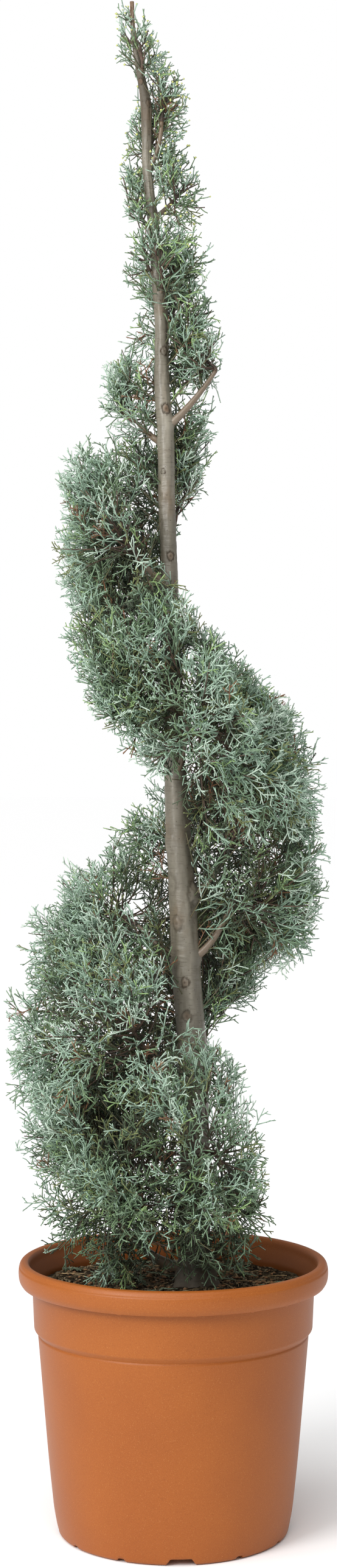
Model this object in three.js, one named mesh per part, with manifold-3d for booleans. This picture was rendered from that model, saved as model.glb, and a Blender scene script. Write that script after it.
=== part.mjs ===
// Spiral topiary of a blue cypress in a round plastic pot, in millimetres, +Z up.
// The origin is the middle of the pot's flat underside, and -Y is the front.
// A turn is measured in degrees round the trunk: 0 front, 90 left (-X), 180 back, 270 right.
import * as THREE from 'three';
import Module from 'manifold-3d';
import { mergeVertices } from 'three/addons/utils/BufferGeometryUtils.js';

const wasm = await Module();
wasm.setup();

// Clearance between one piece and the next
const GAP = 0.3;

// Pot: outer radii at their heights, wall and foot
const POT_HEIGHT = 350;
const POT_SIDES = 36;
const LIP_MID_HEIGHT = 337;
const LIP_UNDER_HEIGHT = 319;
const LIP_INNER_RADIUS = 184;
const BAND_TOP_RADIUS = 182;
const BAND_FOOT_RADIUS = 179.5;
const BAND_FOOT_HEIGHT = 263;
const BODY_TOP_RADIUS = 174.5;
const BODY_TOP_HEIGHT = 256;
const BODY_MIDDLE_RADIUS = 161;
const BODY_MIDDLE_HEIGHT = 96;
const BODY_FOOT_RADIUS = 151;
const BODY_FOOT_HEIGHT = 15;
const HEEL_RADIUS = 148;
const HEEL_HEIGHT = 2;
const FOOT_OUTER_RADIUS = 143;
const FOOT_INNER_RADIUS = 124;
const FOOT_RECESS = 7;
const FOOT_SLOPE = 3;
const PAD_RADIUS = 32;
const POT_WALL = 4.5;
const POT_FLOOR_TOP = 13;

// Rolled lip: radius and height of each corner, from the band out, up and over the top
const LIP = [
  [BAND_TOP_RADIUS, 318.5],
  [195, LIP_UNDER_HEIGHT],
  [199, 325],
  [200, LIP_MID_HEIGHT],
  [197.8, 347.5],
  [191, POT_HEIGHT],
  [186, 347],
];

// Notches in the foot: four wide ones a quarter turn apart, two narrow ones between each pair
const NOTCH_COUNT = 12;
const NOTCH_TURN = -3.6;
const WIDE_NOTCH = { foot: 38, top: 27, height: 9 };
const NARROW_NOTCH = { foot: 11, top: 8, height: 5 };
const NOTCH_BELOW = 1;
const NOTCH_LEAD = 8;

// Soil: flat round the trunk, falling to a shallow ring and rising again to the wall
const SOIL_TOP = 316;
const SOIL_DISH = 3;
const SOIL_FLAT_RADIUS = 60;
const SOIL_RING_RADIUS = 150;

// Trunk: height, left-right place, front-back place, diameter
const TRUNK = [
  [SOIL_TOP + GAP, 29, -10, 58],
  [334, 28.5, -10, 44],
  [360, 28, -9, 38],
  [484, 27, -7, 37],
  [609, 26, -3, 37],
  [690, 19, 0, 36.5],
  [744, 15.6, 0, 36],
  [849, 9.8, -1, 33],
  [922, 4.7, -3, 30],
  [993, 1.6, -4, 27],
  [1110, -2, -2, 24],
  [1239, -5, 1, 20.5],
  [1316, -8.2, 2, 21.5],
  [1409, -9.4, 1, 21],
  [1470, -15, 0, 19.5],
  [1553, -15, -1, 17],
  [1600, -19.2, -1, 16.5],
  [1668, -24, 0, 13.8],
  [1754, -34.3, 1, 11.6],
  [1800, -34.4, 1, 12.6],
  [1836, -34.5, 1, 14.6],
  [1869, -41.2, 0, 9.9],
  [1924, -52, -1, 5.8],
  [1967, -53.2, -1, 4.8],
];
const TRUNK_SIDES = 10;

// Spiral of foliage, one row each quarter turn: lowest, highest and widest height, reach from the trunk
const QUARTER = 90;
const FIRST_TURN = -90;
const SPIRAL = [
  [250, 600, 400, 96],
  [240, 720, 500, 190],
  [240, 885, 620, 240],
  [560, 1000, 760, 192],
  [700, 1130, 870, 197],
  [915, 1260, 1080, 182],
  [950, 1500, 1250, 158],
  [1220, 1680, 1400, 110],
  [1450, 1840, 1520, 84],
  [1560, 1740, 1650, 32],
  [1500, 1780, 1590, 40],
  [1700, 1930, 1800, 42],
  [1740, 1955, 1840, 52],
  [1860, 1985, 1930, 32],
];

// Masses along the spiral, in two tiers where it is tall
const MASS_STEP = 72;
const LAST_TURN = 1062;
const TALLEST_MASS = 380;
const MASS_MIDDLE_SHARE = 0.55;
const MASS_CLEARANCE = 0.8;
const LIMB_CLEARANCE = 0.9;
const RIM_CLEARANCE_HEIGHT = POT_HEIGHT + 6;
const RIM_CLEARANCE_RADIUS = 164;
const LOWEST_LEAF = SOIL_TOP + 6;

// Boughs: where the usual one enters its mass, as shares of the mass's reach and height
const BOUGH_SIDES = 5;
const BOUGH_RINGS = 4;
const BOUGH_TIP_SHARE = 0.3;
const BOUGH_TIP_DROPS = [0.3, 0.2, 0.1, 0];
const LOWEST_TIP = 24;
const STEM_MARGIN = 5;
const LOWEST_BOUGH = 14;
const BOUGH_RISE = 0.75;
const BOUGH_BEND_SHARE = 0.55;
const BOUGH_SAG = 0.12;
const BOUGH_THICKNESS_SHARE = 0.42;
const BOUGH_THICKNESS_LEAST = 0.8;
const BOUGH_TIP_RADIUS = 2.6;
const BOUGH_TAPER_LEAST = 0.3;

// Boughs that show: turn, tier, height on the trunk, a point on the way, tip, thickness at the trunk
const SHOWN_BOUGHS = [
  { turn: -90, tier: 0, from: 330, via: [56, -14, 345], tip: [72, -12, 402], thick: 13 },
  { turn: 54, tier: 0, from: 338, via: [-52, -22, 345], tip: [-86, -22, 440], thick: 17 },
  { turn: 126, tier: 1, from: 730, via: [-14, 8, 745], tip: [-46, 22, 779], thick: 12 },
  { turn: 270, tier: 0, from: 733, via: [52, -10, 748], tip: [76, -14, 812], thick: 12 },
  { turn: 270, tier: 1, from: 812, via: [38, -6, 824], tip: [58, -4, 852], thick: 10 },
  { turn: 342, tier: 0, from: 972, via: [12, -34, 990], tip: [20, -52, 1050], thick: 9 },
  { turn: 414, tier: 0, from: 996, via: [-22, -2, 1010], tip: [-46, 2, 1040], thick: 11 },
  { turn: 630, tier: 0, from: 1420, via: [22, -8, 1444], tip: [54, -10, 1492], thick: 11 },
  { turn: 990, tier: 0, from: 1752, via: [-17, -4, 1768], tip: [-15, -5, 1812], thick: 6 },
];

// Stem of a mass, and the craggy core round it that the sprays stand out of
const STEM_RADIUS = 2.4;
const STEM_SIDES = 5;
const STEM_END_RADIUS = 1.2;
const STEM_BEND = 0.25;
const CORE_CRAG_SHARE = 0.86;
const CORE_HOLLOW_SHARE = 0.52;
const CORE_CLEARANCE = 3.5;
const CRAG_MATCH = 0.99;
const ROOM_STEP = 3;
const LARGE_REACH = 110;

// Twigs, each ending in a spray: one for each golden turn up the stem, from low to high round the mass
const GOLDEN_TURN = THREE.MathUtils.degToRad(137.508);
const TWIGS_ON_LARGE = 8;
const TWIGS_ON_SMALL = 6;
const LOWEST_TWIG = -0.85;
const HIGHEST_TWIG = 0.97;
const FIRST_TWIG_PLACE = 0.55;
const POLE_LEAN = 0.4;
const SPRAY_SHARE = 0.58;
const LONGEST_SPRAY = 150;
const SHORTEST_SPRAY = 20;
const SPRAY_WIDTHS = [1, 0.8, 0.6, 0.4];
const SPRAY_ROLLS = 6;
const SPRAY_THICKNESS = 2.6;
const SPRAY_SPACING = 4;
const FREE_RIB_SHARE = 0.5;
const EDGE_ALLOWANCE = 1.06;
const TOOTH_HALF = 4;
const KEYS_PER_MASS = 100;
const ROLL_SEED = 5;

// Spray in its own plane, as shares of its length and half width: notches along the rib, tips of its teeth
const SPRAY_WIDTH_RATIO = 0.95;
const SPRAY_NOTCHES = [0, 0.36, 0.68];
const SPRAY_TEETH = [[0.5, 1], [0.84, 0.8]];
const SPRAY_RIB = 0.08;
const SPRAY_LIFT = 0.28;
const TOOTH_STAGGER = 0.05;

// Corners closer than this are one corner
const SAME_PLACE = 1e-4;
const UP = new THREE.Vector3(0, 0, 1);
const SIDE = new THREE.Vector3(1, 0, 0);

const COLOURS = {
  pot: new THREE.MeshStandardMaterial({ color: 0xb97142, roughness: 0.5, metalness: 0 }),
  soil: new THREE.MeshStandardMaterial({ color: 0x3a2c1e, roughness: 0.95, metalness: 0 }),
  bark: new THREE.MeshStandardMaterial({ color: 0x79756a, roughness: 0.8, metalness: 0 }),
  foliage: new THREE.MeshStandardMaterial({ color: 0x7f978c, roughness: 0.7, metalness: 0 }),
};

// A repeatable share from 0 to 1 for a pair of whole numbers, by the usual sine hash
function share(i, j) {
  const value = Math.sin(i * 12.9898 + j * 78.233) * 43758.5453;
  return value - Math.floor(value);
}

// Straight-line reading of one column of a table at a key that its first column or its row gives
function readTable(keys, values, key) {
  const last = keys.length - 1;
  if (key <= keys[0]) return values[0];
  if (key >= keys[last]) return values[last];
  const i = keys.findIndex((k) => k > key) - 1;
  return THREE.MathUtils.mapLinear(key, keys[i], keys[i + 1], values[i], values[i + 1]);
}

const trunkHeights = TRUNK.map((row) => row[0]);
const trunkColumn = (column, z) => readTable(trunkHeights, TRUNK.map((row) => row[column]), z);
const trunkAt = (z) => new THREE.Vector3(trunkColumn(1, z), trunkColumn(2, z), z);
const trunkRadius = (z) => trunkColumn(3, z) / 2;

const spiralTurns = SPIRAL.map((_, i) => FIRST_TURN + i * QUARTER);
const spiralColumn = (column, turn) => readTable(spiralTurns, SPIRAL.map((row) => row[column]), turn);

// Level direction that points away from the trunk at a turn
function outward(turn) {
  const angle = THREE.MathUtils.degToRad(turn);
  return new THREE.Vector3(-Math.sin(angle), -Math.cos(angle), 0);
}

// Closed mesh from corner points and triangles
function meshFrom(points, triangles) {
  const geometry = new THREE.BufferGeometry();
  geometry.setAttribute('position', new THREE.Float32BufferAttribute(points.flatMap((p) => p.toArray()), 3));
  geometry.setIndex(triangles.flat());
  return geometry;
}

// Rings of equal count joined into one closed skin, with a flat fan over each end
function loft(rings) {
  const sides = rings[0].length;
  const triangles = [];
  rings.slice(1).forEach((_, r) => {
    for (let s = 0; s < sides; s += 1) {
      const a = r * sides + s;
      const b = r * sides + ((s + 1) % sides);
      triangles.push([a, b, b + sides], [a, b + sides, a + sides]);
    }
  });
  const top = (rings.length - 1) * sides;
  for (let s = 1; s < sides - 1; s += 1) {
    triangles.push([0, s + 1, s], [top, top + s, top + s + 1]);
  }
  return meshFrom(rings.flat(), triangles);
}

// Two directions square to a given one and to each other
function across(direction) {
  const helper = Math.abs(direction.z) < 0.9 ? UP : SIDE;
  const u = new THREE.Vector3().crossVectors(helper, direction).normalize();
  const v = new THREE.Vector3().crossVectors(direction, u).normalize();
  return [u, v];
}

// Ring of points round a centre, square to a direction
function ring(centre, direction, radius, sides) {
  const [u, v] = across(direction);
  return Array.from({ length: sides }, (_, s) => {
    const angle = (2 * Math.PI * s) / sides;
    return centre.clone()
      .addScaledVector(u, radius * Math.cos(angle))
      .addScaledVector(v, radius * Math.sin(angle));
  });
}

// Geometry to solid: shared corners merged, squeezed triangles left out
function solidOf(geometry) {
  const bare = geometry.clone();
  bare.deleteAttribute('normal');
  bare.deleteAttribute('uv');
  const merged = mergeVertices(bare, SAME_PLACE);
  const index = Array.from(merged.index.array);
  const kept = [];
  for (let i = 0; i < index.length; i += 3) {
    const [a, b, c] = index.slice(i, i + 3);
    if (a !== b && b !== c && c !== a) kept.push(a, b, c);
  }
  const mesh = new wasm.Mesh({
    numProp: 3,
    vertProperties: new Float32Array(merged.attributes.position.array),
    triVerts: new Uint32Array(kept),
  });
  return new wasm.Manifold(mesh);
}

// Solid to geometry
function geometryOf(solid) {
  const mesh = solid.getMesh();
  const geometry = new THREE.BufferGeometry();
  geometry.setAttribute('position', new THREE.BufferAttribute(new Float32Array(mesh.vertProperties), 3));
  geometry.setIndex(new THREE.BufferAttribute(new Uint32Array(mesh.triVerts), 1));
  return geometry;
}

// All solids fused two by two, then only the outside of the largest body kept
function fuse(solids) {
  let round = solids;
  while (round.length > 1) {
    const next = [];
    for (let i = 0; i < round.length; i += 2) {
      next.push(i + 1 < round.length ? round[i].add(round[i + 1]) : round[i]);
    }
    round = next;
  }
  const bodies = round[0].decompose().sort((a, b) => b.volume() - a.volume());
  return bodies[0];
}

// Named mesh of a solid
function node(name, solid, material) {
  const mesh = new THREE.Mesh(geometryOf(solid), material);
  mesh.name = name;
  return mesh;
}

// Turned shape from a profile of radius and height that starts and ends on the axis
function turned(profile) {
  const points = profile.map(([radius, height]) => new THREE.Vector2(radius, height));
  const geometry = new THREE.LatheGeometry(points, POT_SIDES);
  geometry.rotateX(Math.PI / 2);
  return solidOf(geometry);
}

// Inner radius of the pot's wall at a height
function potInside(z) {
  const heights = [
    POT_FLOOR_TOP,
    BODY_MIDDLE_HEIGHT,
    BODY_TOP_HEIGHT,
    BAND_FOOT_HEIGHT + POT_WALL,
    LIP_UNDER_HEIGHT,
    LIP_MID_HEIGHT,
  ];
  const radii = [
    BODY_FOOT_RADIUS - POT_WALL,
    BODY_MIDDLE_RADIUS - POT_WALL,
    BODY_TOP_RADIUS - POT_WALL,
    BAND_FOOT_RADIUS - POT_WALL,
    BAND_TOP_RADIUS - POT_WALL,
    LIP_INNER_RADIUS,
  ];
  return readTable(heights, radii, z);
}

// Notch in the foot: a wedge that is narrower at its top, laid outward through the foot ring from inside it
function notch(turn, size) {
  const outline = new THREE.Shape();
  outline.moveTo(-size.foot / 2 - NOTCH_BELOW, -NOTCH_BELOW);
  outline.lineTo(size.foot / 2 + NOTCH_BELOW, -NOTCH_BELOW);
  outline.lineTo(size.top / 2, size.height);
  outline.lineTo(-size.top / 2, size.height);
  const depth = 2 * (BODY_FOOT_RADIUS - FOOT_INNER_RADIUS);
  const geometry = new THREE.ExtrudeGeometry(outline, { depth, bevelEnabled: false });
  geometry.rotateX(Math.PI / 2);
  geometry.translate(0, NOTCH_LEAD - FOOT_INNER_RADIUS, 0);
  geometry.rotateZ(-THREE.MathUtils.degToRad(turn));
  return solidOf(geometry);
}

// Pot: rolled lip, plain band under it, tapering body, ring foot with notches and a pad in its middle
function makePot() {
  const outside = [
    [0, 0],
    [PAD_RADIUS, 0],
    [PAD_RADIUS + FOOT_SLOPE, FOOT_RECESS],
    [FOOT_INNER_RADIUS - FOOT_SLOPE, FOOT_RECESS],
    [FOOT_INNER_RADIUS, 0],
    [FOOT_OUTER_RADIUS, 0],
    [HEEL_RADIUS, HEEL_HEIGHT],
    [BODY_FOOT_RADIUS, BODY_FOOT_HEIGHT],
    [BODY_MIDDLE_RADIUS, BODY_MIDDLE_HEIGHT],
    [BODY_TOP_RADIUS, BODY_TOP_HEIGHT],
    [BAND_FOOT_RADIUS, BAND_FOOT_HEIGHT],
    ...LIP,
  ];
  const inside = [
    LIP_MID_HEIGHT,
    LIP_UNDER_HEIGHT,
    BAND_FOOT_HEIGHT + POT_WALL,
    BODY_TOP_HEIGHT,
    BODY_MIDDLE_HEIGHT,
    POT_FLOOR_TOP,
  ].map((z) => [potInside(z), z]);
  let pot = turned([...outside, ...inside, [0, POT_FLOOR_TOP]]);
  for (let i = 0; i < NOTCH_COUNT; i += 1) {
    const size = i % 3 === 0 ? WIDE_NOTCH : NARROW_NOTCH;
    pot = pot.subtract(notch(NOTCH_TURN + (i * 360) / NOTCH_COUNT, size));
  }
  return pot;
}

// Soil: fills the pot to just clear of its wall
function makeSoil() {
  const heights = [
    POT_FLOOR_TOP + GAP,
    BODY_MIDDLE_HEIGHT,
    BODY_TOP_HEIGHT - GAP,
    BAND_FOOT_HEIGHT + POT_WALL,
    SOIL_TOP,
  ];
  const side = heights.map((z) => [potInside(z) - GAP, z]);
  const profile = [
    [0, POT_FLOOR_TOP + GAP],
    ...side,
    [SOIL_RING_RADIUS, SOIL_TOP - SOIL_DISH],
    [SOIL_FLAT_RADIUS, SOIL_TOP],
    [0, SOIL_TOP],
  ];
  return turned(profile);
}

// Trunk: level rings up the leaning line, each wider by the clearance where asked for
function makeTrunk(extra) {
  const rings = TRUNK.map(([z, x, y, diameter], i) => {
    const lift = extra > 0 && i === TRUNK.length - 1 ? extra : 0;
    const centre = new THREE.Vector3(x, y, z + lift);
    return ring(centre, UP, diameter / 2 + extra, TRUNK_SIDES);
  });
  return solidOf(loft(rings));
}

// Masses: one every step along the spiral, two tiers where the spiral is tall
function placeMasses() {
  const masses = [];
  for (let turn = FIRST_TURN; turn <= LAST_TURN; turn += MASS_STEP) {
    const low = Math.max(spiralColumn(0, turn), LOWEST_LEAF);
    const high = spiralColumn(1, turn);
    const reach = spiralColumn(3, turn);
    const tiers = high - low > TALLEST_MASS ? 2 : 1;
    for (let tier = 0; tier < tiers; tier += 1) {
      const height = (high - low) / tiers;
      const middle = low + height * (tier + 0.5);
      const out = outward(turn);
      const centre = trunkAt(middle).addScaledVector(out, MASS_MIDDLE_SHARE * reach);
      masses.push({ number: masses.length + 1, turn, tier, height, reach, out, centre, planes: [] });
    }
  }
  return masses;
}

// Flat border half way between two masses' middles, which each keeps clear of
function partMasses(masses) {
  masses.forEach((a) => {
    masses.forEach((b) => {
      if (a === b) return;
      const line = b.centre.clone().sub(a.centre);
      const apart = line.length();
      const normal = line.divideScalar(apart);
      const limit = normal.dot(a.centre) + apart / 2 - MASS_CLEARANCE;
      a.planes.push({ normal, limit });
    });
  });
}

// How deep a point lies in the spiral: 0 on its middle line, 1 on its edge, an ellipse in each quarter
function spiralDepth(point, nearTurn) {
  const axis = trunkAt(point.z);
  const angle = THREE.MathUtils.radToDeg(Math.atan2(axis.x - point.x, axis.y - point.y));
  const turn = angle + 360 * Math.round((nearTurn - angle) / 360);
  if (turn < FIRST_TURN - MASS_STEP / 2) return Infinity;
  const [low, high, widest, reach] = [0, 1, 2, 3].map((column) => spiralColumn(column, turn));
  const aside = Math.hypot(point.x - axis.x, point.y - axis.y) / reach;
  const away = point.z > widest ? (point.z - widest) / (high - widest) : (widest - point.z) / (widest - low);
  return aside * aside + away * away;
}

// Whether a round end of a radius keeps to the mass's side of every border and above the soil
function withinBorders(mass, point, radius) {
  const inside = mass.planes.every(({ normal, limit }) => normal.dot(point) + radius <= limit);
  return inside && point.z >= LOWEST_LEAF + radius;
}

// Whether it also lies inside the spiral, no deeper than its edge
function insideSpace(mass, point, radius, edge = 1) {
  return withinBorders(mass, point, radius) && spiralDepth(point, mass.turn) <= edge;
}

// Shortest distance between two straight pieces a-b and c-d
function pieceDistance(a, b, c, d) {
  const u = b.clone().sub(a);
  const v = d.clone().sub(c);
  const w = a.clone().sub(c);
  const uu = u.dot(u);
  const uv = u.dot(v);
  const vv = v.dot(v);
  const clamp = (value) => Math.min(1, Math.max(0, value));
  const down = uu * vv - uv * uv;
  let s = down > 1e-9 ? clamp((uv * v.dot(w) - vv * u.dot(w)) / down) : 0;
  const t = clamp((uv * s + v.dot(w)) / vv);
  s = clamp((uv * t - u.dot(w)) / uu);
  const near = a.clone().addScaledVector(u, s);
  return near.distanceTo(c.clone().addScaledVector(v, t));
}

// Whether a straight piece is clear of the trunk, the boughs and the pot's rim
function clearOfLimbs(a, b, radius, limbs) {
  const lowest = Math.min(a.z, b.z);
  const widest = Math.max(Math.hypot(a.x, a.y), Math.hypot(b.x, b.y));
  if (lowest < RIM_CLEARANCE_HEIGHT && widest > RIM_CLEARANCE_RADIUS) return false;
  return limbs.every((limb) => {
    const clearance = limb.radius + radius + LIMB_CLEARANCE;
    return pieceDistance(a, b, limb.from, limb.to) > clearance;
  });
}

// The trunk as short straight pieces with a radius each
function trunkPieces() {
  return TRUNK.slice(1).map((_, i) => ({
    from: new THREE.Vector3(TRUNK[i][1], TRUNK[i][2], TRUNK[i][0]),
    to: new THREE.Vector3(TRUNK[i + 1][1], TRUNK[i + 1][2], TRUNK[i + 1][0]),
    radius: Math.max(TRUNK[i][3], TRUNK[i + 1][3]) / 2,
  }));
}

// Line of a bough: from inside the trunk, out and up, to the lower inner part of its mass
function boughLine(mass) {
  const shown = SHOWN_BOUGHS.find((b) => b.turn === mass.turn && b.tier === mass.tier);
  if (shown) {
    return {
      curve: new THREE.QuadraticBezierCurve3(
        trunkAt(shown.from),
        new THREE.Vector3(...shown.via),
        new THREE.Vector3(...shown.tip),
      ),
      radius: shown.thick / 2,
    };
  }
  const run = BOUGH_TIP_SHARE * mass.reach;
  const tips = BOUGH_TIP_DROPS.map((drop) => {
    const height = Math.max(mass.centre.z - drop * mass.height, LOWEST_LEAF + LOWEST_TIP);
    return trunkAt(height).addScaledVector(mass.out, run);
  });
  const tip = tips.find((place) => withinBorders(mass, place, STEM_MARGIN)) || tips[tips.length - 1];
  const foot = trunkAt(Math.max(tip.z - BOUGH_RISE * run, SOIL_TOP + LOWEST_BOUGH));
  const via = foot.clone().lerp(tip, BOUGH_BEND_SHARE);
  via.z -= BOUGH_SAG * run;
  const thick = BOUGH_THICKNESS_SHARE * trunkRadius(foot.z) + BOUGH_THICKNESS_LEAST;
  const radius = Math.max(thick, BOUGH_TIP_RADIUS + BOUGH_TAPER_LEAST);
  return { curve: new THREE.QuadraticBezierCurve3(foot, via, tip), radius };
}

// Bough: rings along its line, tapering to its tip, each wider by the clearance where asked for
function boughSolid(line, extra) {
  const rings = [];
  for (let i = 0; i < BOUGH_RINGS; i += 1) {
    const t = i / (BOUGH_RINGS - 1);
    const radius = THREE.MathUtils.lerp(line.radius, BOUGH_TIP_RADIUS, t) + extra;
    const heading = line.curve.getTangent(t);
    const lead = i === BOUGH_RINGS - 1 ? extra : 0;
    rings.push(ring(line.curve.getPoint(t).addScaledVector(heading, lead), heading, radius, BOUGH_SIDES));
  }
  return solidOf(loft(rings));
}

// A bough as short straight pieces with a radius each
function boughPieces(line) {
  const pieces = [];
  for (let i = 1; i < BOUGH_RINGS; i += 1) {
    pieces.push({
      from: line.curve.getPoint((i - 1) / (BOUGH_RINGS - 1)),
      to: line.curve.getPoint(i / (BOUGH_RINGS - 1)),
      radius: THREE.MathUtils.lerp(line.radius, BOUGH_TIP_RADIUS, (i - 1) / (BOUGH_RINGS - 1)),
    });
  }
  return pieces;
}

// Corners of a spray on its twig: the twig from its foot to the spray's root, then the rib with teeth
function sprayCorners(foot, direction, flat, twigLength, length, width) {
  const normal = new THREE.Vector3().crossVectors(direction, flat).normalize();
  const halfWidth = width / 2;
  const at = (along, aside, up) => foot.clone()
    .addScaledVector(direction, twigLength + along * length)
    .addScaledVector(flat, aside * halfWidth)
    .addScaledVector(normal, up);
  const half = SPRAY_THICKNESS / 2;
  const end = (point) => ({ left: point, right: point, top: point, bottom: point });
  const rows = SPRAY_NOTCHES.map((along) => ({
    left: at(along, SPRAY_RIB, 0),
    right: at(along, -SPRAY_RIB, 0),
    top: at(along, 0, half),
    bottom: at(along, 0, -half),
  }));
  const teeth = SPRAY_TEETH.map(([along, aside], i) => {
    const lift = (i % 2 ? -1 : 1) * SPRAY_LIFT * halfWidth;
    return { left: at(along, aside, lift), right: at(along - TOOTH_STAGGER, -aside, -lift) };
  });
  return { rows: [end(foot), ...rows, end(at(1, 0, 0))], teeth };
}

// Straight lines down the middle of a spray's rib and teeth
function sprayLines({ rows, teeth }) {
  const arms = teeth.flatMap((tooth, i) => {
    const from = rows[i + 1].top.clone().lerp(rows[i + 2].top, 0.5);
    return [[from, tooth.left], [from, tooth.right]];
  });
  const tip = rows[rows.length - 1].top;
  return [[tip.clone().lerp(rows[0].top, 1 - FREE_RIB_SHARE), tip], ...arms];
}

// Spray: a toothed blade, thickest along its rib
function spraySolid({ rows, teeth }) {
  const points = [];
  const indexOf = (point) => {
    if (!points.includes(point)) points.push(point);
    return points.indexOf(point);
  };
  const triangles = [];
  const skins = ['top', 'bottom'];
  ['left', 'right'].forEach((side) => skins.forEach((skin) => {
    const flip = (side === 'left') === (skin === 'top');
    rows.slice(1).forEach((to, i) => {
      const from = rows[i];
      const edge = [from[side], from[skin], to[skin], to[side]].map(indexOf);
      const tip = teeth[i - 1] ? indexOf(teeth[i - 1][side]) : edge[0];
      for (let k = 0; k < 3; k += 1) {
        const corners = flip ? [tip, edge[k], edge[k + 1]] : [tip, edge[k + 1], edge[k]];
        if (new Set(corners).size === 3) triangles.push(corners);
      }
    });
  }));
  return solidOf(meshFrom(points, triangles));
}

// How far a straight line runs in a mass's space, clear of limbs
function roomFrom(mass, limbs, start, direction, clearance) {
  const at = (run) => start.clone().addScaledVector(direction, run);
  const fits = (point) => insideSpace(mass, point, 0) && clearOfLimbs(start, point, clearance, limbs);
  let room = 0;
  while (fits(at(room + ROOM_STEP))) room += ROOM_STEP;
  return room;
}

// Core: a ball of 80 faces, the corners of a plain icosahedron drawn out as crags and the rest less,
// cut clear of its bough
function coreSolid(mass, line, limbs) {
  const crags = new THREE.IcosahedronGeometry(1, 0).attributes.position;
  const ball = new THREE.IcosahedronGeometry(1, 1);
  const corners = ball.attributes.position;
  for (let i = 0; i < corners.count; i += 1) {
    const direction = new THREE.Vector3().fromBufferAttribute(corners, i).normalize();
    let isCrag = false;
    for (let k = 0; k < crags.count; k += 1) {
      if (new THREE.Vector3().fromBufferAttribute(crags, k).dot(direction) > CRAG_MATCH) isCrag = true;
    }
    const room = roomFrom(mass, limbs, mass.centre, direction, CORE_CLEARANCE);
    const run = Math.max(room * (isCrag ? CORE_CRAG_SHARE : CORE_HOLLOW_SHARE), ROOM_STEP);
    const corner = mass.centre.clone().addScaledVector(direction, run);
    corners.setXYZ(i, corner.x, corner.y, corner.z);
  }
  return solidOf(ball).subtract(boughSolid(line, LIMB_CLEARANCE));
}

// Directions of a mass's twigs: straight out, then golden turns from low to high about a leaning pole
function twigDirections(mass) {
  const count = mass.reach > LARGE_REACH ? TWIGS_ON_LARGE : TWIGS_ON_SMALL;
  const pole = mass.out.clone().multiplyScalar(POLE_LEAN).add(UP).normalize();
  const [u, v] = across(pole);
  const round = Array.from({ length: count }, (_, i) => {
    const rise = THREE.MathUtils.lerp(LOWEST_TWIG, HIGHEST_TWIG, (i + 0.5) / count);
    const angle = i * GOLDEN_TURN + mass.number;
    const level = Math.sqrt(1 - rise * rise);
    return pole.clone().multiplyScalar(rise)
      .addScaledVector(u, level * Math.cos(angle))
      .addScaledVector(v, level * Math.sin(angle));
  });
  return [mass.out, ...round];
}

// Twig and spray from a foot on the stem: the widest spray that keeps to the space, clear of limbs and others
function fitSpray(mass, limbs, taken, foot, outwards, key) {
  const furthest = mass.centre.clone()
    .addScaledVector(outwards, roomFrom(mass, limbs, mass.centre, outwards, TOOTH_HALF));
  const direction = furthest.clone().sub(foot).normalize();
  const whole = roomFrom(mass, limbs, foot, direction, TOOTH_HALF);
  const length = Math.min(LONGEST_SPRAY, SPRAY_SHARE * whole);
  if (length < SHORTEST_SPRAY) return null;
  const [u, v] = across(direction);
  for (let i = 0; i < SPRAY_WIDTHS.length * SPRAY_ROLLS; i += 1) {
    const width = SPRAY_WIDTHS[Math.floor(i / SPRAY_ROLLS)] * SPRAY_WIDTH_RATIO * length;
    const roll = (share(key, ROLL_SEED) + i / SPRAY_ROLLS) * Math.PI;
    const flat = u.clone().multiplyScalar(Math.cos(roll)).addScaledVector(v, Math.sin(roll));
    const corners = sprayCorners(foot, direction, flat, whole - length, length, width);
    const lines = sprayLines(corners);
    const keeps = lines.every(([from, to]) => insideSpace(mass, to, 0, EDGE_ALLOWANCE)
      && clearOfLimbs(from, to, TOOTH_HALF, limbs)
      && taken.every(([c, d]) => pieceDistance(from, to, c, d) > SPRAY_SPACING));
    if (keeps) return { corners, lines };
  }
  return null;
}

// Stem of a mass: carries on from its bough, then turns up into the middle of the space
function stemCurve(mass, line) {
  const heading = line.curve.getTangent(1);
  const start = line.curve.getPoint(1).addScaledVector(heading, GAP);
  const bend = start.clone().addScaledVector(heading, STEM_BEND * start.distanceTo(mass.centre));
  return new THREE.QuadraticBezierCurve3(start, bend, mass.centre);
}

// Mass of foliage: a stem, a core round its end, and twigs up the stem with their sprays
function makeMass(mass, line, limbs) {
  const stem = stemCurve(mass, line);
  const stemRings = [0, 0.5, 1].map((t) => {
    const radius = THREE.MathUtils.lerp(STEM_RADIUS, STEM_END_RADIUS, t);
    return ring(stem.getPoint(t), stem.getTangent(t), radius, STEM_SIDES);
  });
  const solids = [solidOf(loft(stemRings)), coreSolid(mass, line, limbs)];
  const directions = twigDirections(mass);
  const taken = [];
  directions.forEach((direction, i) => {
    const foot = stem.getPoint(THREE.MathUtils.lerp(FIRST_TWIG_PLACE, 1, i / (directions.length - 1)));
    const spray = fitSpray(mass, limbs, taken, foot, direction, mass.number * KEYS_PER_MASS + i);
    if (!spray) return;
    solids.push(spraySolid(spray.corners));
    taken.push(...spray.lines);
  });
  return fuse(solids);
}

const group = new THREE.Group();
group.add(node('Pot', makePot(), COLOURS.pot));
group.add(node('Soil', makeSoil(), COLOURS.soil));
group.add(node('Trunk', makeTrunk(0), COLOURS.bark));

const trunkWide = makeTrunk(GAP);
const masses = placeMasses();
partMasses(masses);
const lines = masses.map(boughLine);
const limbs = [...trunkPieces(), ...lines.flatMap(boughPieces)];
masses.forEach((mass, i) => {
  const number = String(mass.number).padStart(2, '0');
  const bough = fuse([boughSolid(lines[i], 0).subtract(trunkWide)]);
  group.add(node(`Bough_${number}`, bough, COLOURS.bark));
  group.add(node(`Mass_${number}`, makeMass(mass, lines[i], limbs), COLOURS.foliage));
});

export default group;
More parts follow.
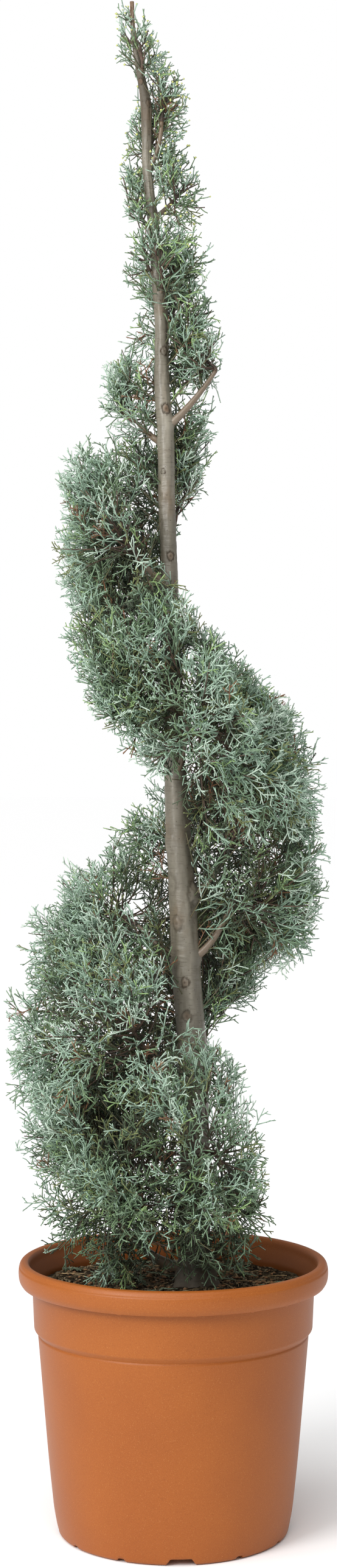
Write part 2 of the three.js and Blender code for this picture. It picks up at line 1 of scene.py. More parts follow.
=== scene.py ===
"""Spiral topiary of a blue cypress in a terracotta-coloured plastic pot.

Lengths are in millimetres up to the point where a mesh is made, then metres. The origin is the middle of the
pot's flat underside, +Z is up and -Y is the front. A turn is measured in degrees round the trunk: 0 front,
90 left (-X), 180 back, 270 right. The crown grows from the limbs by seeded rules, so every run is the same.
"""
import math

import bpy
import numpy as np
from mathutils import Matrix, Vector


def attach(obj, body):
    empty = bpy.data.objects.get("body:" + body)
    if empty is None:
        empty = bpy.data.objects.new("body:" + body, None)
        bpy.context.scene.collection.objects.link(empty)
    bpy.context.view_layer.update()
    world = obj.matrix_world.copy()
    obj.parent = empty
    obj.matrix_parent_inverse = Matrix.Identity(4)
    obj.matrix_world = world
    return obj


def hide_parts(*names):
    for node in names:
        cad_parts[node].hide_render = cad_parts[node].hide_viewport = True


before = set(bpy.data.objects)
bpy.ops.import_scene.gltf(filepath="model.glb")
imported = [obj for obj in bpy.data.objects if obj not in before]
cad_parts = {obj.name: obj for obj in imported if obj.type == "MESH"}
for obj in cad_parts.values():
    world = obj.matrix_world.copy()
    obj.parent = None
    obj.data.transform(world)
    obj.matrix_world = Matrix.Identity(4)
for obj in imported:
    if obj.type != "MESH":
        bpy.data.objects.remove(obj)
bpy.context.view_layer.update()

MM = 0.001
GAP = 0.3
UP = np.array([0.0, 0.0, 1.0])
SIDE = np.array([1.0, 0.0, 0.0])
GOLDEN_TURN = math.radians(137.508)

# Pot: outer radii at their heights
POT_HEIGHT = 350
POT_SEGMENTS = 420
LIP_MID_HEIGHT = 337
LIP_UNDER_HEIGHT = 319
LIP_INNER_RADIUS = 184
BAND_TOP_RADIUS = 182
BAND_FOOT_RADIUS = 179.5
BAND_FOOT_HEIGHT = 263
BODY_TOP_RADIUS = 174.5
BODY_TOP_HEIGHT = 256
BODY_MIDDLE_RADIUS = 161
BODY_MIDDLE_HEIGHT = 96
BODY_FOOT_RADIUS = 151
BODY_FOOT_HEIGHT = 15
HEEL_RADIUS = 148
HEEL_HEIGHT = 2
FOOT_OUTER_RADIUS = 143
FOOT_INNER_RADIUS = 124
NOTCH_INNER_RADIUS = FOOT_INNER_RADIUS - 8
FOOT_RECESS = 7
FOOT_SLOPE = 3
PAD_RADIUS = 32
POT_WALL = 4.5
POT_FLOOR_TOP = 13

# Rolled lip: radius, height and fillet of each corner, from the band out, up and over the top
LIP = [
    (BAND_TOP_RADIUS, 318.5, 1.2),
    (195, LIP_UNDER_HEIGHT, 1),
    (199, 325, 5),
    (200, LIP_MID_HEIGHT, 9),
    (197.8, 347.5, 8),
    (191, POT_HEIGHT, 5),
    (186, 347, 5),
]
# Depth of the fine crease where the band steps in to the body
BAND_CREASE = 1.2
# Small radius that the pot's body has above its foot
BODY_SHOULDER = (BODY_FOOT_RADIUS + 3.2, BODY_FOOT_HEIGHT + 18, 8)
# Inner wall: height and radius of each corner, from the floor up
INNER_WALL = np.array([
    (POT_FLOOR_TOP, BODY_FOOT_RADIUS - POT_WALL),
    (BODY_MIDDLE_HEIGHT, BODY_MIDDLE_RADIUS - POT_WALL),
    (BODY_TOP_HEIGHT, BODY_TOP_RADIUS - POT_WALL),
    (BAND_FOOT_HEIGHT + POT_WALL, BAND_FOOT_RADIUS - POT_WALL),
    (LIP_UNDER_HEIGHT, BAND_TOP_RADIUS - POT_WALL),
    (LIP_MID_HEIGHT, LIP_INNER_RADIUS),
])

# Foot notches: four wide ones a quarter turn apart, two narrow ones between each pair
NOTCH_COUNT = 12
NOTCH_TURN = -3.6
WIDE_NOTCH = {"foot": 38, "top": 27, "height": 9}
NARROW_NOTCH = {"foot": 11, "top": 8, "height": 5}

# Moulding flash under the lip: turn of each nub
LIP_NUBS = [20, -7.5, -30, -46, -53, 95, 140, 171, 206, 232]
NUB_WIDTH = 1.6
NUB_DROP = 1.4
NUB_SPREAD = 2
# Height from which painted shade darkens the inner wall, more and more down to the soil
INNER_SHADE_TOP = POT_HEIGHT - 1

SOIL_TOP = 316
SOIL_DISH = 3
SOIL_FLAT_RADIUS = 60
SOIL_RING_RADIUS = 150
SOIL_SEGMENTS = 360
SOIL_RINGS = 90
SOIL_INSET = 1
SOIL_EDGE_DROP = 8
# Lumps of the soil, mounds first and crumbs last: rise, width and starting number
SOIL_LUMPS = [(2.6, 45, 3), (1.5, 16, 4), (1.2, 7, 5), (0.7, 3, 6)]
SOIL_MOUND = 5
SOIL_MOUND_WIDTH = 34
# Radius of the ring next to the middle of a turned piece's ends
POLE_RADIUS = 2

# Trunk: height, left-right place, front-back place, diameter
TRUNK = np.array([
    [SOIL_TOP + GAP, 29, -10, 58],
    [334, 28.5, -10, 44],
    [360, 28, -9, 38],
    [484, 27, -7, 37],
    [609, 26, -3, 37],
    [690, 19, 0, 36.5],
    [744, 15.6, 0, 36],
    [849, 9.8, -1, 33],
    [922, 4.7, -3, 30],
    [993, 1.6, -4, 27],
    [1110, -2, -2, 24],
    [1239, -5, 1, 20.5],
    [1316, -8.2, 2, 21.5],
    [1409, -9.4, 1, 21],
    [1470, -15, 0, 19.5],
    [1553, -15, -1, 17],
    [1600, -19.2, -1, 16.5],
    [1668, -24, 0, 13.8],
    [1754, -34.3, 1, 11.6],
    [1800, -34.4, 1, 12.6],
    [1836, -34.5, 1, 14.6],
    [1869, -41.2, 0, 9.9],
    [1924, -52, -1, 5.8],
    [1967, -53.2, -1, 4.8],
])
TRUNK_SIDES = 64
TRUNK_RING_STEP = 1.6
TRUNK_EASE = 14
# Flutes at the foot: rise, number round the trunk and starting angle, and the height in which they fade
FLUTES = [(3.4, 5, 0.6), (1.8, 3, -1.0)]
FLUTE_FADE = 26
# Long ridges: number and rise as a share of the radius, how far and in what length they wander, and a second
# set that twists, by its number and the share of that rise that it has
RIDGES = 4
RIDGE_SHARE = 0.028
RIDGE_WANDER = 1.6
RIDGE_LENGTH = 160
RIDGE_SEED = 8
LOW_RIDGES = 7
LOW_RIDGE = 0.6
RIDGE_TWIST = 90
# Grain and rings of the bark: rise, number round the trunk, length along it and starting number
BARK_LUMPS = [(0.35, 24, 9, 9), (0.22, 6, 2.6, 10)]
# Collars: rise, height and width as shares of the bough's radius, and the least slope that counts
COLLAR_RISE = 0.5
COLLAR_HEIGHT = 1.6
COLLAR_WIDTH = 1.5
COLLAR_SLOPE = 0.2
# Height of brown dying wood under the cut tip
CUT_TIP = 60
# Painted shade on the bark just above the soil, where the crown shades the trunk's foot: how dark, and the
# height in which it fades
BARK_FOOT_SHADE = (0.75, 60)
# Dark old bark on the leader: how dark, the height of its middle and half its height
DARK_LEADER = (0.45, 1850, 50)
# Painted shade on the boughs: how far their bark is mixed towards the brown of bare wood
BOUGH_SHADE = 0.45

# Knots and swellings on the trunk: height, turn, half height, rise (a dip where negative), share of bare wood
KNOTS = [
    (887, 62, 15, 2.4, 0),
    (834, 56, 12, -1.4, 0),
    (821, -74, 15, 4.0, 0),
    (783, 31, 9, 2.0, 0.2),
    (708, 10, 6, 1.4, 0.4),
    (665, 14, 7, -1.0, 0.5),
    (1518, -22, 5.5, 1.3, 0.1),
    (1444, -19, 6, 1.5, 0.8),
    (1364, 25, 3.5, 1.0, 0),
    (1255, -10, 5.5, 1.3, 0.5),
    (1864, 24, 4, 1.0, 0.9),
    (1836, -40, 5, 1.0, 0.4),
    (590, 150, 10, 2.0, 0.3),
    (930, 205, 10, 1.8, 0.2),
    (1100, 130, 7, 1.4, 0.5),
    (1640, 160, 5, 1.0, 0.5),
]
# A knot larger than this is smoothed over by bark
OPEN_KNOT = 6
# Shape of a knot in shares of its half height: width, ring, width of the ring, pit and bare wood
KNOT_WIDTH = 0.8
KNOT_RING = 1.05
KNOT_RING_WIDTH = 0.24
KNOT_PIT = 0.3
KNOT_WOOD = 0.85
# Depth of its ring and pit as shares of its rise, and how dark the painted shade in the pit is
KNOT_RING_DEPTH = 0.45
KNOT_PIT_DEPTH = 0.5
PIT_SHADE = 0.9
# How uneven its outline is, in patches of so many to a radian and of that length
KNOT_UNEVEN = 0.2
UNEVEN_TURNS = 9
UNEVEN_LENGTH = 3
KNOT_SEED = 11

# Spiral of foliage, one row each quarter turn: lowest, highest and widest height, reach from the trunk.
# Four rows differ a little from the solids', so that the outline of the sprays follows the photo's.
QUARTER = 90
FIRST_TURN = -90
SPIRAL = np.array([
    [250, 560, 400, 84],
    [240, 700, 490, 178],
    [240, 885, 620, 240],
    [560, 1000, 760, 192],
    [700, 1130, 870, 197],
    [915, 1260, 1080, 182],
    [1005, 1500, 1250, 150],
    [1220, 1680, 1400, 110],
    [1400, 1840, 1520, 84],
    [1560, 1740, 1650, 32],
    [1500, 1780, 1590, 40],
    [1700, 1930, 1800, 42],
    [1740, 1955, 1840, 52],
    [1860, 1985, 1930, 32],
], float)
SPIRAL_TURNS = FIRST_TURN + QUARTER * np.arange(len(SPIRAL))

# Masses along the spiral, in two tiers where it is tall
MASS_STEP = 72
LAST_TURN = 1062
TALLEST_MASS = 380
MASS_MIDDLE_SHARE = 0.55
LOWEST_LEAF = SOIL_TOP + 6
RIM_CLEARANCE_HEIGHT = POT_HEIGHT + 6
RIM_CLEARANCE_RADIUS = 164
# How far neighbouring masses' sprays reach into each other
INTERLOCK = 28
# Nothing in the crown reaches further than this from the pot's axis
CROWN_RADIUS = 219
# How unevenly the crown fills the spiral, how far it holds back on the whole, and how far apart its tufts are
TUFT_DEPTH = 0.3
TUFT_HOLD = 0.15
TUFT_SIZE = 58
# The tufts are dealt over a slanted plane: what each millimetre of height adds to x and to y there
TUFT_SLANT = (0.7, -0.6)
# Single sprays stand out of it or fall short by up to this, less where the mass is small, at this spacing
STRAY_RUN = 22
STRAY_MOST = 0.17
STRAY_SIZE = 23
# Share of sprays left out deep in the crown and low down by the soil
INSIDE_THINNING = 0.92
INSIDE_FADE = (33, 86)
FOOT_THINNING = 0.2
# How far the crown draws in and how much darker it is near the soil, and the heights where that fades
FOOT_HOLD = 0.05
FOOT_SHADE = 0.34
FOOT_FADE = (400, 560)
# How much darker the thin foliage of the leader is, and the heights over which it becomes so
LEADER_SHADE = 0.18
LEADER_RISE = (1350, 1700)

# Boughs: where the usual one enters its mass, as shares of the mass's reach and height
BOUGH_TIP_SHARE = 0.3
BOUGH_TIP_DROPS = [0.3, 0.2, 0.1, 0]
LOWEST_TIP = 24
LOWEST_BOUGH = 14
STEM_MARGIN = 5
BOUGH_RISE = 0.75
BOUGH_BEND_SHARE = 0.55
BOUGH_SAG = 0.12
BOUGH_THICKNESS_SHARE = 0.42
BOUGH_THICKNESS_LEAST = 0.8
BOUGH_TAPER_LEAST = 0.3
BOUGH_TIP_RADIUS = 2.6
BOUGH_SIDES = 20
BOUGH_RINGS = 36
# Number of straight pieces that stand for a bough where shoots keep clear of it
BOUGH_PIECES = 4
# Lumps of a bough: rise as a share of its radius, number along it, and how far apart two boughs read them
BOUGH_LUMP = 0.07
BOUGH_LUMPS = 9
BOUGH_APART = 13
BOUGH_SEED = 12
# Ripples of a bough: rise as a share of its radius, and radians of the wave along it
BOUGH_RIPPLE = 0.02
BOUGH_RIPPLES = 90

# Boughs that show: turn, tier, height on the trunk, a point on the way, tip, thickness at the trunk
SHOWN_BOUGHS = {
    (-90, 0): (330, (56, -14, 345), (72, -12, 402), 13),
    (54, 0): (338, (-52, -22, 345), (-86, -22, 440), 17),
    (126, 1): (730, (-14, 8, 745), (-46, 22, 779), 12),
    (270, 0): (733, (52, -10, 748), (76, -14, 812), 12),
    (270, 1): (812, (38, -6, 824), (58, -4, 852), 10),
    (342, 0): (972, (12, -34, 990), (20, -52, 1050), 9),
    (414, 0): (996, (-22, -2, 1010), (-46, 2, 1040), 11),
    (630, 0): (1420, (22, -8, 1444), (54, -10, 1492), 11),
    (990, 0): (1752, (-17, -4, 1768), (-15, -5, 1812), 6),
}

# Stem and branches of a mass
STEM_RADIUS = 2.6
STEM_TIP_RADIUS = 1.5
STEM_BEND = 0.25
BRANCHES_PER_REACH = 1 / 12
FEWEST_BRANCHES = 8
LOWEST_BRANCH = -0.85
HIGHEST_BRANCH = 0.97
FIRST_BRANCH_PLACE = 0.15
POLE_LEAN = 0.4
LARGE_REACH = 150
BRANCH_RADIUS = 1.3
BRANCH_TIP_RADIUS = 0.7
BRANCH_FILL = (0.66, 0.96)
BRANCH_SAG = 0.12
BRANCH_WAVER = 0.08
SHORTEST_BRANCH = 14
BRANCH_CLEARANCE = 3

# Shoots straight from the trunk and the boughs
LIMB_SHOOT_STEP = 5
LIMB_SHOOT_RISE = 0.7
LIMB_SHOOT_RUNS = (17, 30, 48, 70, 95)
LIMB_SHOOT_SPREAD = (0.85, 1.15)
LIMB_SHOOT_LIFT = 0.2
LIMB_SHOOT_SAG = 3
LIMB_SHOOT_EDGE = 0.95
LIMB_SHOOT_RADII = (1.1, 0.6)
LIMB_SHOOT_CLEARANCE = 2
# Share of a shoot's length from which it has to keep clear of the limbs
LIMB_SHOOT_FREE = 0.6

# Side shoots of each order: spacing, share of the parent left bare, slant, lengths near the parent's foot and
# tip, radii at their own foot and tip, lift, how far out they may end, and the least and most share of those
# lengths in a small and a large mass
ARMS = {"spacing": 21, "first": 0.15, "slant": 40, "lengths": (120, 62), "radii": (1.15, 0.7), "lift": 0.3,
        "edge": 0.86, "mass_share": (0.3, 1.2)}
SHOOTS = {"spacing": 15, "first": 0.15, "slant": 44, "lengths": (78, 40), "radii": (0.9, 0.6), "lift": 0.35,
          "edge": 0.92, "mass_share": (0.4, 1)}
SPRAYS = {"spacing": 9, "first": 0.12, "slant": 46, "lengths": (46, 26), "radii": (0.95, 0.7), "lift": 0.34,
          "edge": 1.02, "mass_share": (0.6, 1)}
BRANCHLETS = {"spacing": 6.3, "first": 0.1, "slant": 48, "lengths": (22, 12), "radii": (0.9, 0.7),
              "lift": 0.16, "edge": 1.1, "alternate": True}
TWIGLETS = {"spacing": 7, "first": 0.25, "slant": 46, "lengths": (9, 5), "radii": (0.75, 0.6), "lift": 0.08,
            "edge": 1.14, "alternate": True}
LAST_PLACE = 0.98
# How far places, turns (in radians), slants (in degrees) and lengths of side shoots vary by chance
PLACE_SPREAD = (0.2, 0.8)
ROLL_WOBBLE = 0.35
SLANT_WOBBLE = 7
LENGTH_SPREAD = (0.7, 1.25)
LENGTH_TRIES = (1, 0.66)
SHOOT_CLEARANCE = 1.2
# Shoots turn up high in a mass and hang low in it, changing over between these shares of its half height
HANG_UP = 0.75
HANG_DOWN = 0.75
HANG_PLACES = (0.1, 0.8)
OUTWARD_LIFT = 0.45
# Sides and rings of the tubes of each order
WOOD_MESH = (5, 7)
SHOOT_MESH = (3, 5)
SPRAY_MESH = (3, 4)
TIP_MESH = (3, 2)

# Kinds of leaves from dark to pale: name, colour and share of the sprays. Sprays are ranked into them partly
# at random and partly by painted shade, so the darker kinds go deep inside, near the soil and up the leader.
FOLIAGE_KINDS = [
    ("Foliage_Shade", "#2e3a22", 0.12),
    ("Foliage_Deep", "#4b5c3f", 0.13),
    ("Foliage_Green", "#66805a", 0.15),
    ("Foliage_Grey", "#779172", 0.16),
    ("Foliage_Blue", "#86a18a", 0.16),
    ("Foliage_Silver", "#a0baa5", 0.14),
    ("Foliage_Pale", "#bccfbd", 0.09),
]
# Odd kinds: name, colour, least chance and what that gains deep inside, or near the top for the fresh one
ODD_KINDS = [
    ("Foliage_Olive", "#727b48", 0.05, 0.10),
    ("Foliage_Fresh", "#8fad70", 0.04, 0.08),
    ("Foliage_Brown", "#7a5231", 0.012, 0.06),
]
ODD_DEPTH = (20, 80)
FRESH_RISE = (1300, 1850)
FRESH_FROM = 0.3
# What a spray's tone is made of: its shoot's, its own, and how deep it lies, between these depths. Depth
# darkens it, partly the darker colour of older inner foliage and partly painted shade.
SHOOT_TONE = 0.5
SPRAY_TONE = 0.4
DEPTH_SHADE = 0.8
DEPTH_FADE = (5, 75)

# Starting numbers of the seeded draws
CROWN_SEED = 20
LITTER_SEED = 31
TUFT_SEED = 28
STRAY_SEED = 22

# Pollen cones: heights of the first and where they are most, share of the tips there, sizes and squash
FIRST_CONE = 1600
MOST_CONES = 1850
CONE_SHARE = 0.24
CONE_SIZES = (1.4, 2.2)
CONE_SQUASH = 0.9

# Step and furthest reach of the search for a mass's room
ROOM_STEP = 4
ROOM_MOST = 320

# Litter on the soil: number, height of the middles above the soil, sizes or lengths, squash or radii
CRUMBS = {"count": 2600, "lift": 0.5, "sizes": (1.0, 3.4), "squash": 0.75}
CHIPS = {"count": 420, "lift": 1.5, "sizes": (1.8, 5.0), "squash": 0.45}
STRAWS = {"count": 70, "lift": 1.8, "lengths": (12, 42), "radii": (0.8, 0.4)}
FALLEN = {"count": 70, "lift": 3, "lengths": (16, 40), "radii": (0.8, 0.5)}
STRAW_MESH = (4, 4)
FALLEN_MESH = (3, 3)
LUMP_UNEVEN = (0.6, 1.3)
WALL_MARGIN = 8
TRUNK_MARGIN = 4
LITTER_BEND = (3, 3, 0.9)
LITTER_ARCH = 1.5
# Litter that would end further out than this is drawn in to this share of its place
LITTER_RADIUS = 168
DRAWN_IN = 0.85
# Leaves of a fallen spray: number, first and last place, slant, waver, length and how much shorter at the tip
FALLEN_LEAVES = 9
FALLEN_PLACES = (0.1, 0.95)
FALLEN_SLANT = 0.8
FALLEN_WAVER = 0.1
FALLEN_LENGTH = 11
FALLEN_TAPER = 5

# Camera: a pinhole fitted to the pot's rim, band and foot, in the 554 x 2576 pixel frame
IMAGE_HEIGHT = 2576
FOCAL_PIXELS = 4001.7
SENSOR = 36
CAMERA_PLACE = (-6.26, -3138.2, 994.5)
CAMERA_TILT = 0.584

# Studio: lengths in metres, angles in degrees
FLOOR_HALF = 60
SURROUNDING_LIGHT = 0.42
OVERHEAD_POWER = 2.3
OVERHEAD_SPREAD = 70
OVERHEAD_TURN = (35, 0, -30)
KEY_PLACE = (-2.2, -2.6, 2.2)
KEY_TARGET = (0, 0, 0.9)
KEY_SIZE = 1.4
KEY_POWER = 75


# Helpers for colours, directions, random relief and meshes
def linear(colour):
    """An sRGB hex colour such as "#b97142" as linear red, green, blue and alpha."""
    parts = [int(colour[i:i + 2], 16) / 255 for i in (1, 3, 5)]
    return tuple(c / 12.92 if c <= 0.04045 else ((c + 0.055) / 1.055) ** 2.4 for c in parts) + (1.0,)


def unit(vectors):
    """Vectors at length 1, along the last axis."""
    return vectors / np.maximum(np.linalg.norm(vectors, axis=-1, keepdims=True), 1e-9)


def across(direction):
    """Two directions square to each given one and to each other."""
    helper = np.where(np.abs(direction[..., 2:]) < 0.9, UP, SIDE)
    u = unit(np.cross(helper, direction))
    return u, np.cross(direction, u)


def smooth_step(low, high, value):
    """0 below low, 1 above high, an S-shaped cubic between them."""
    t = np.clip((value - low) / (high - low), 0, 1)
    return t * t * (3 - 2 * t)


def wrapped(angle, whole):
    """An angle brought to between minus and plus half of a whole turn."""
    return (angle + whole / 2) % whole - whole / 2


def quadratic(start, bend, end, t):
    """Points at share t of quadratic curves: (1-t)2 start + 2t(1-t) bend + t2 end."""
    return (1 - t) ** 2 * start + 2 * t * (1 - t) * bend + t * t * end


def around(heading, roll):
    """Directions square to each heading, turned round it by an angle."""
    u, v = across(heading)
    return np.cos(roll)[:, None] * u + np.sin(roll)[:, None] * v


def numbered(counts):
    """For rows of that many items each: the row of every item and its number in the row."""
    row = np.repeat(np.arange(len(counts)), counts)
    return row, np.arange(len(row)) - np.repeat(np.cumsum(counts) - counts, counts)


def put(name, data):
    """Puts an object with that data into the scene."""
    thing = bpy.data.objects.new(name, data)
    bpy.context.scene.collection.objects.link(thing)
    return thing


def lumps(x, y, cell, seed, turns=None):
    """Smooth random heights from -1 to 1: values dealt to a square grid of that cell, blended between corners
    by the S-shaped cubic. With turns, x is an angle share that wraps round after that many cells."""
    table = np.random.default_rng(seed).uniform(-1, 1, (256, 256))
    i, j = np.floor(x / cell), np.floor(y / cell)
    fx, fy = x / cell - i, y / cell - j
    fx, fy = fx * fx * (3 - 2 * fx), fy * fy * (3 - 2 * fy)
    wrap = turns or 256
    i0, i1 = (i % wrap).astype(int) % 256, ((i + 1) % wrap).astype(int) % 256
    j0, j1 = j.astype(int) % 256, (j.astype(int) + 1) % 256
    low = table[i0, j0] * (1 - fx) + table[i1, j0] * fx
    high = table[i0, j1] * (1 - fx) + table[i1, j1] * fx
    return low * (1 - fy) + high * fy


def mesh_piece(name, points, quads, triangles, material, slot, nodes):
    """Makes one object from arrays of points in millimetres, four-cornered and three-cornered faces, gives it
    its material, says which body it rides on, and hides the solids that it stands for."""
    quads = np.asarray(quads, np.int32).reshape(-1, 4)
    triangles = np.asarray(triangles, np.int32).reshape(-1, 3)
    corners = np.concatenate([quads.ravel(), triangles.ravel()])
    sizes = np.concatenate([np.full(len(quads), 4), np.full(len(triangles), 3)])
    mesh = bpy.data.meshes.new(name)
    mesh.vertices.add(len(points))
    mesh.vertices.foreach_set("co", np.asarray(points * MM, np.float32).ravel())
    mesh.loops.add(len(corners))
    mesh.loops.foreach_set("vertex_index", corners)
    mesh.polygons.add(len(sizes))
    mesh.polygons.foreach_set("loop_start", np.concatenate([[0], np.cumsum(sizes)[:-1]]).astype(np.int32))
    mesh.polygons.foreach_set("use_smooth", np.ones(len(sizes), bool))
    mesh.update(calc_edges=True)
    mesh.materials.append(material)
    piece = put(name, mesh)
    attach(piece, "root")
    if nodes:
        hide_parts(*nodes)
    return piece


def paint(piece, **layers):
    """Gives a piece named layers of one value for each of its points, which its material reads."""
    for name, values in layers.items():
        layer = piece.data.attributes.new(name, "FLOAT", "POINT")
        layer.data.foreach_set("value", np.asarray(values, np.float32).ravel())


def grid_faces(rows, columns):
    """Faces of a grid of rows that each close on themselves: corner, next round, the same two one row on."""
    row = np.arange(rows - 1)[:, None] * columns
    column = np.arange(columns)[None, :]
    a, b = row + column, row + (column + 1) % columns
    return np.stack([a, b, b + columns, a + columns], -1).reshape(-1, 4)


def rounded(corners, steps=6):
    """A profile with each corner of radius, height and fillet turned to a curve: the quadratic curve from one
    fillet length before the corner to one after it, at most half a side, pulled towards the corner."""
    corners = np.array(corners, float)
    places, fillets = corners[:, :2], corners[:, 2]
    t = np.linspace(0, 1, steps)[:, None]
    profile = [places[:1]]
    for before, corner, after, fillet in zip(places, places[1:], places[2:], fillets[1:]):
        back, on = before - corner, after - corner
        start = corner + back * min(0.5, fillet / np.linalg.norm(back))
        end = corner + on * min(0.5, fillet / np.linalg.norm(on))
        profile.append(quadratic(start, corner, end, t) if fillet > 0 else corner[None])
    profile.append(places[-1:])
    return np.concatenate(profile)


def turned_piece(name, points, poles, material, slot, nodes):
    """One piece of rows of points round the axis, its ends closed by fans to the two poles."""
    rows, segments = points.shape[:2]
    points = np.concatenate([points.reshape(-1, 3), poles])
    return mesh_piece(name, points, *turned_faces(rows, segments), material, slot, nodes)


def turned_faces(rows, segments):
    """Faces of a shape turned from its lower end to its upper one, facing out, with a fan at each end to the
    middle points that follow the rows."""
    here = np.arange(segments)
    following = (here + 1) % segments
    last = (rows - 1) * segments
    pole = np.full(segments, rows * segments)
    lower = np.stack([pole, here, following], -1)
    upper = np.stack([pole + 1, last + following, last + here], -1)
    return grid_faces(rows, segments)[:, ::-1], np.concatenate([lower, upper])


def turned(profile, segments):
    """Points of a profile of radius and height carried round the axis: radius times sine and cosine of the
    turn, as an array of profile points by segments. A turn runs from the front to the left."""
    turn = 2 * np.pi * np.arange(segments) / segments
    radius, height = profile[:, :1], profile[:, 1:]
    return np.stack([-radius * np.sin(turn), -radius * np.cos(turn), height + 0 * turn], -1)


# Pot and soil
def pot_inside(z):
    """Inner radius of the pot's wall at a height, by straight lines between its corners."""
    return np.interp(z, INNER_WALL[:, 0], INNER_WALL[:, 1])


def pot_profile():
    """The pot's outline from the middle of its underside, out and up to the lip, then down inside to its
    floor: radius, height and fillet of each corner."""
    outside = [
        (POLE_RADIUS, 0, 0),
        (PAD_RADIUS, 0, 1),
        (PAD_RADIUS + FOOT_SLOPE, FOOT_RECESS, 1),
        (FOOT_INNER_RADIUS - FOOT_SLOPE, FOOT_RECESS, 1),
        (FOOT_INNER_RADIUS, 0, 1),
        (FOOT_OUTER_RADIUS, 0, 3),
        (HEEL_RADIUS, HEEL_HEIGHT, 3),
        (BODY_FOOT_RADIUS, BODY_FOOT_HEIGHT, 9),
        BODY_SHOULDER,
        (BODY_MIDDLE_RADIUS, BODY_MIDDLE_HEIGHT, 30),
        (BODY_TOP_RADIUS, BODY_TOP_HEIGHT - 2 * BAND_CREASE, 1.5),
        (BODY_TOP_RADIUS - BAND_CREASE, BODY_TOP_HEIGHT, 0.6),
        (BAND_FOOT_RADIUS, BAND_FOOT_HEIGHT, 2),
        *LIP,
    ]
    inside = [(radius, height, 3) for height, radius in INNER_WALL[::-1]]
    return rounded([*outside, *inside, (POLE_RADIUS, POT_FLOOR_TOP, 0)])


def make_pot():
    """Pot: the turned outline with its foot ring lifted to the top of each notch, and small nubs of flash on
    the lower edge of the lip."""
    profile = pot_profile()
    points = turned(profile, POT_SEGMENTS)
    turn = np.degrees(2 * np.pi * np.arange(POT_SEGMENTS) / POT_SEGMENTS)
    radius = np.broadcast_to(profile[:, :1], points.shape[:2])
    foot = (radius > NOTCH_INNER_RADIUS) & (points[..., 2] < WIDE_NOTCH["height"])
    for i in range(NOTCH_COUNT):
        size = WIDE_NOTCH if i % 3 == 0 else NARROW_NOTCH
        aside = np.radians(np.abs(wrapped(turn - NOTCH_TURN - i * 360 / NOTCH_COUNT, 360))) * radius
        slope = (size["foot"] - size["top"]) / 2
        top = np.clip((size["foot"] / 2 - aside) / slope, 0, 1) * size["height"]
        points[..., 2] = np.where(foot, np.maximum(points[..., 2], top), points[..., 2])
    edge_radius, edge_height, _ = LIP[1]
    from_edge = np.hypot(profile[:, :1] - edge_radius, profile[:, 1:] - edge_height)
    edge = np.exp(-(from_edge / NUB_SPREAD) ** 2)
    for nub in LIP_NUBS:
        off = np.radians(wrapped(turn - nub, 360)) * edge_radius
        points[..., 2] -= NUB_DROP * edge * np.exp(-(off / NUB_WIDTH) ** 2)
    poles = [[0, 0, 0], [0, 0, POT_FLOOR_TOP]]
    piece = turned_piece("Pot_Body", points, poles, terracotta_plastic(), "pot_plastic", ["Pot"])
    # Painted shade on the inner wall, from just under the crest, darker down to the soil
    crest = np.argmax(profile[:, 1])
    inside = (np.arange(len(profile)) > crest) * smooth_step(INNER_SHADE_TOP, SOIL_TOP, profile[:, 1])
    paint(piece, inside=np.append(np.repeat(inside, POT_SEGMENTS), [0, 1]))


def soil_height(x, y):
    """Height of the soil's surface: a shallow dish, low mounds and crumbs, drawn up a little round the
    trunk's foot."""
    dish = SOIL_DISH * smooth_step(SOIL_FLAT_RADIUS, SOIL_RING_RADIUS, np.hypot(x, y))
    relief = sum(rise * lumps(x, y, width, seed) for rise, width, seed in SOIL_LUMPS)
    from_trunk = ((x - TRUNK[0, 1]) / SOIL_MOUND_WIDTH) ** 2 + ((y - TRUNK[0, 2]) / SOIL_MOUND_WIDTH) ** 2
    return SOIL_TOP - dish + relief + SOIL_MOUND * np.exp(-from_trunk)


def make_soil(material):
    """Soil: the turned inside of the pot, its top a fine grid lifted to the soil's height."""
    floor = POT_FLOOR_TOP + GAP
    heights = (floor, BODY_MIDDLE_HEIGHT, BODY_TOP_HEIGHT, SOIL_TOP - SOIL_EDGE_DROP)
    side = [(pot_inside(z) - GAP, z) for z in heights]
    top = [(r, SOIL_TOP) for r in np.linspace(pot_inside(SOIL_TOP) - SOIL_INSET, POLE_RADIUS, SOIL_RINGS)]
    points = turned(np.array([(POLE_RADIUS, floor), *side, *top]), SOIL_SEGMENTS)
    surface = points[len(side) + 1:]
    surface[..., 2] = soil_height(surface[..., 0], surface[..., 1])
    poles = [[0, 0, floor], [0, 0, soil_height(0, 0)]]
    turned_piece("Compost", points, poles, material, "compost", ["Soil"])


# Trunk
def trunk_centre(z):
    """Centre of the trunk at a height, by straight lines through the table."""
    z = np.asarray(z, float)
    return np.stack([np.interp(z, TRUNK[:, 0], TRUNK[:, 1]), np.interp(z, TRUNK[:, 0], TRUNK[:, 2]), z], -1)


def trunk_radius(z):
    """Radius of the trunk at a height, by straight lines through the table."""
    return np.interp(z, TRUNK[:, 0], TRUNK[:, 3]) / 2


def eased(reading, z):
    """A reading of the trunk's table averaged over a short stretch, so that its bends are round."""
    low, high = TRUNK[0, 0], TRUNK[-1, 0]
    reach = np.minimum(np.minimum(z - low, high - z), TRUNK_EASE)
    shares = np.linspace(-1, 1, 7)
    return sum(reading(z + share * reach) for share in shares) / len(shares)


